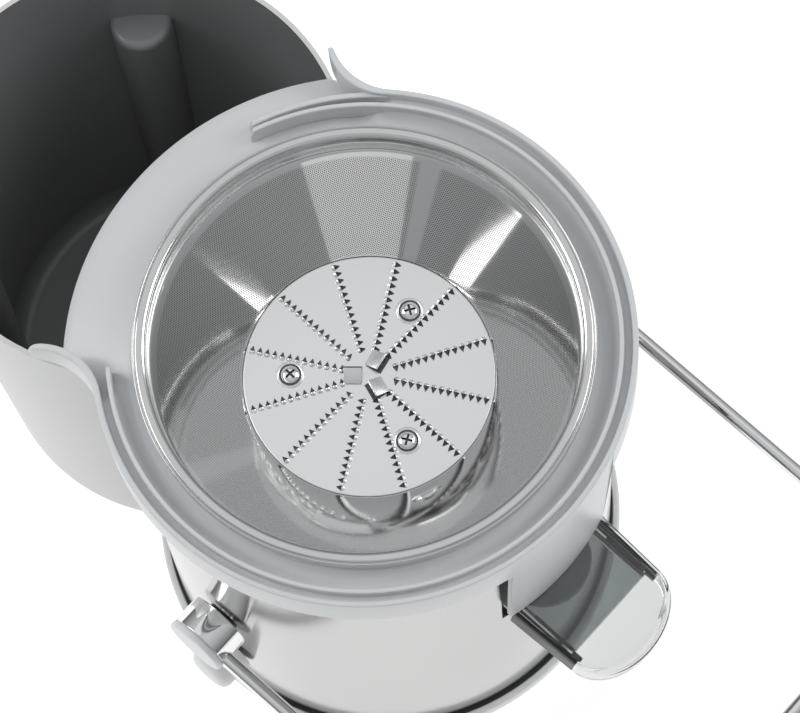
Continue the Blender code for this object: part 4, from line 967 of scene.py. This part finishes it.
for index, (x, y) in enumerate(route):
    x0, y0 = route[max(0, index - 1)]
    x1, y1 = route[min(len(route) - 1, index + 1)]
    along = Vector((x1 - x0, y1 - y0, 0)).normalized()
    aside = Vector((-along.y, along.x, 0))
    section = []
    for step in range(32):
        a = 2 * math.pi * step / 32
        spot = Vector((x, y, 0)) + aside * rod_radius * math.cos(a) + Vector((0, 0,
            1)) * rod_radius * math.sin(a)
        section.append((spot.x * math.cos(bail_slope) + spot.z * math.sin(bail_slope), spot.y,
            pivot_height - spot.x * math.sin(bail_slope) + spot.z * math.cos(bail_slope)))
    stations.append(section)
swept(shape, stations)
finished("bail_bent_rod", shape, chrome, "bail", ["bail_rod"], 45.0)

hub_radius, hub_inner, hub_length = 0.0135, housing_radius + 0.0015, 0.0163
for name, side in (("near", -1), ("far", 1)):
    lay = Matrix.Translation((0, 0, pivot_height)) @ Matrix.Rotation(math.radians(-90 * side), 4, "X")
    shape = turned(bmesh.new(), rounded([(0.0040, hub_inner, 0), (hub_radius, hub_inner, 0.0005),
        (hub_radius, hub_inner + hub_length - 0.0032, 0.0003),
        (0.0040, hub_inner + hub_length - 0.0032, 0)]), 96, True, lay)
    turned(shape, rounded([(0, 0.0840, 0), (0.0040, 0.0840, 0.0004), (0.0040, hub_inner + 0.0010, 0),
        (0, hub_inner + 0.0010, 0)]), 48, False, lay)
    finished(f"bail_hub_{name}", shape, chrome, "bail", [f"hub_cap_{name}"], 40.0)
    shape = turned(bmesh.new(), rounded([(0, hub_inner + hub_length - 0.0034, 0),
        (hub_radius - 0.0008, hub_inner + hub_length - 0.0034, 0),
        (hub_radius - 0.0008, hub_inner + hub_length - 0.0027, 0.0001),
        (hub_radius, hub_inner + hub_length - 0.0027, 0.0002),
        (hub_radius, hub_inner + hub_length, 0.0012), (0, hub_inner + hub_length - 0.0001, 0)]), 96,
        False, lay)
    finished(f"bail_cap_{name}", shape, base_grey, "bail")


# Control knob
# Light grey moulded knob on the near side, round with a soft edge; its stem passes through the
# housing to the mode switch.
knob_height, knob_radius = 0.0500, 0.0105
lay = Matrix.Translation((0, 0, knob_height)) @ Matrix.Rotation(math.radians(90), 4, "X")
shape = turned(bmesh.new(), rounded([(0, 0.0918, 0), (0.0030, 0.0918, 0.0003), (0.0030, 0.0974, 0),
    (knob_radius, 0.0974, 0.0004), (knob_radius - 0.0004, 0.1128, 0.0045), (0, 0.1128, 0)]), 96, False,
    lay)
finished("control_knob_moulding", shape, base_grey, "knob", ["control_knob"])


# Pulp bin
# A tall round tub in grey ABS with a hollow that fits round the housing and two half-round grips
# moulded inwards on its back; its inside is painted a darker grey as shade, with a light coat.
bin_outside = moulded_plastic("bin_grey_abs", (0.64, 0.64, 0.635), 0.30, 0.6)
# a darker copy of the grey for the tub's inside: painted shade
bin_inside_painted_shade = moulded_plastic("bin_grey_abs_painted_shade", (0.26, 0.263, 0.267), 0.30, 0.2, 0.35)
bin_centre, bin_radius, bin_lean, bin_draft, bin_top = -0.1270, 0.0880, 0.0070, 0.0060, 0.2070
bin_foot, bin_wall, foot_round = 0.0010, 0.0020, 0.0100
hug = housing_radius + 0.0043 + 0.0010


def bin_axis(height):
    return bin_centre + bin_lean * (1 - height / bin_top)


def tub_radius(height, inset=0.0):
    """The tub's outer radius at a height, with its rounded foot."""
    size = foot_round - inset
    up = min(1.0, max(0.0, (height - bin_foot - inset) / size))
    rounding = size * (1 - math.sqrt(1 - (1 - up) ** 2))
    return bin_radius - bin_draft * (1 - height / bin_top) - inset - rounding


def solid_cylinder(name, radius, low, high, steps):
    shape = bmesh.new()
    bmesh.ops.create_cone(shape, cap_ends=True, segments=steps, radius1=radius, radius2=radius,
        depth=high - low, matrix=Matrix.Translation((0, 0, (low + high) / 2)))
    return hidden(name, shape)


def tub(name, inset, top, hollow, steps=160):
    size = foot_round - inset
    low = bin_foot + inset
    levels = [low + size * (1 - math.cos(math.radians(a))) for a in (0, 15, 30, 45, 60, 75, 90)] + [top]
    skins = []
    for height in levels:
        radius = tub_radius(height, inset)
        skins.append([(bin_axis(height) + radius * math.cos(2 * math.pi * s / steps),
            radius * math.sin(2 * math.pi * s / steps), height) for s in range(steps)])
    shape = bmesh.new()
    swept(shape, skins)
    return combine(hidden(name, shape), [(solid_cylinder(f"{name}_hug", hollow, -0.05, 0.3, 192),
        "DIFFERENCE")])


outside = tub("pulp_bin_tub", 0.0, bin_top, hug)
inside = tub("bin_inside", bin_wall, bin_top + 0.01, hug + bin_wall)
grips = []
grip_bearing, grip_ring, grip_top, grip_radius = 134.0, 0.0825, 0.1650, 0.0130
for side in (-1, 1):
    a = math.radians(side * grip_bearing)
    grips.append((bin_axis(grip_top) + grip_ring * math.cos(a), grip_ring * math.sin(a)))
    for radius, target in ((grip_radius, inside), (grip_radius - bin_wall, outside)):
        top = grip_top - (grip_radius - radius)
        shape = bmesh.new()
        turned(shape, rounded([(0, top, 0), (radius, top, 0.0035), (radius, -0.02, 0), (0, -0.02, 0)],
            6), 72, False, Matrix.Translation((*grips[-1], 0)))
        combine(target, [(hidden("grip", shape), "DIFFERENCE")])
combine(outside, [(inside, "DIFFERENCE")])
front = turned(bmesh.new(), [(hug - 0.010, 0.1990), (hug + 0.0075, 0.1990), (hug + 0.0075, 0.22),
    (hug - 0.010, 0.22)], 192)
combine(outside, [(hidden("front_clearing", front), "DIFFERENCE")])
shape = bmesh.new()
shape.from_mesh(outside.data)
bpy.data.objects.remove(outside)
bin_piece = finished("pulp_bin_tub_moulding", shape, bin_outside, "bin", ["pulp_bin"], 30.0)
# the faces that look into the tub take the darker grey: painted shade
bin_piece.data.materials.append(bin_inside_painted_shade)
for face in bin_piece.data.polygons:
    spot = face.center + face.normal * 0.0025
    within = math.hypot(spot.x - bin_axis(spot.z), spot.y) < tub_radius(spot.z, bin_wall / 2)
    behind = math.hypot(spot.x, spot.y) > hug + bin_wall * 0.75
    clear_of_grips = spot.z > grip_top - 0.0010 or all(math.hypot(spot.x - x,
        spot.y - y) > grip_radius - 0.0010 for x, y in grips)
    if within and behind and clear_of_grips and bin_foot < spot.z < bin_top:
        face.material_index = 1
soften = bin_piece.modifiers.new("edges", "BEVEL")
soften.width = 0.0006
soften.segments = 3
soften.limit_method = "ANGLE"
soften.angle_limit = math.radians(40)
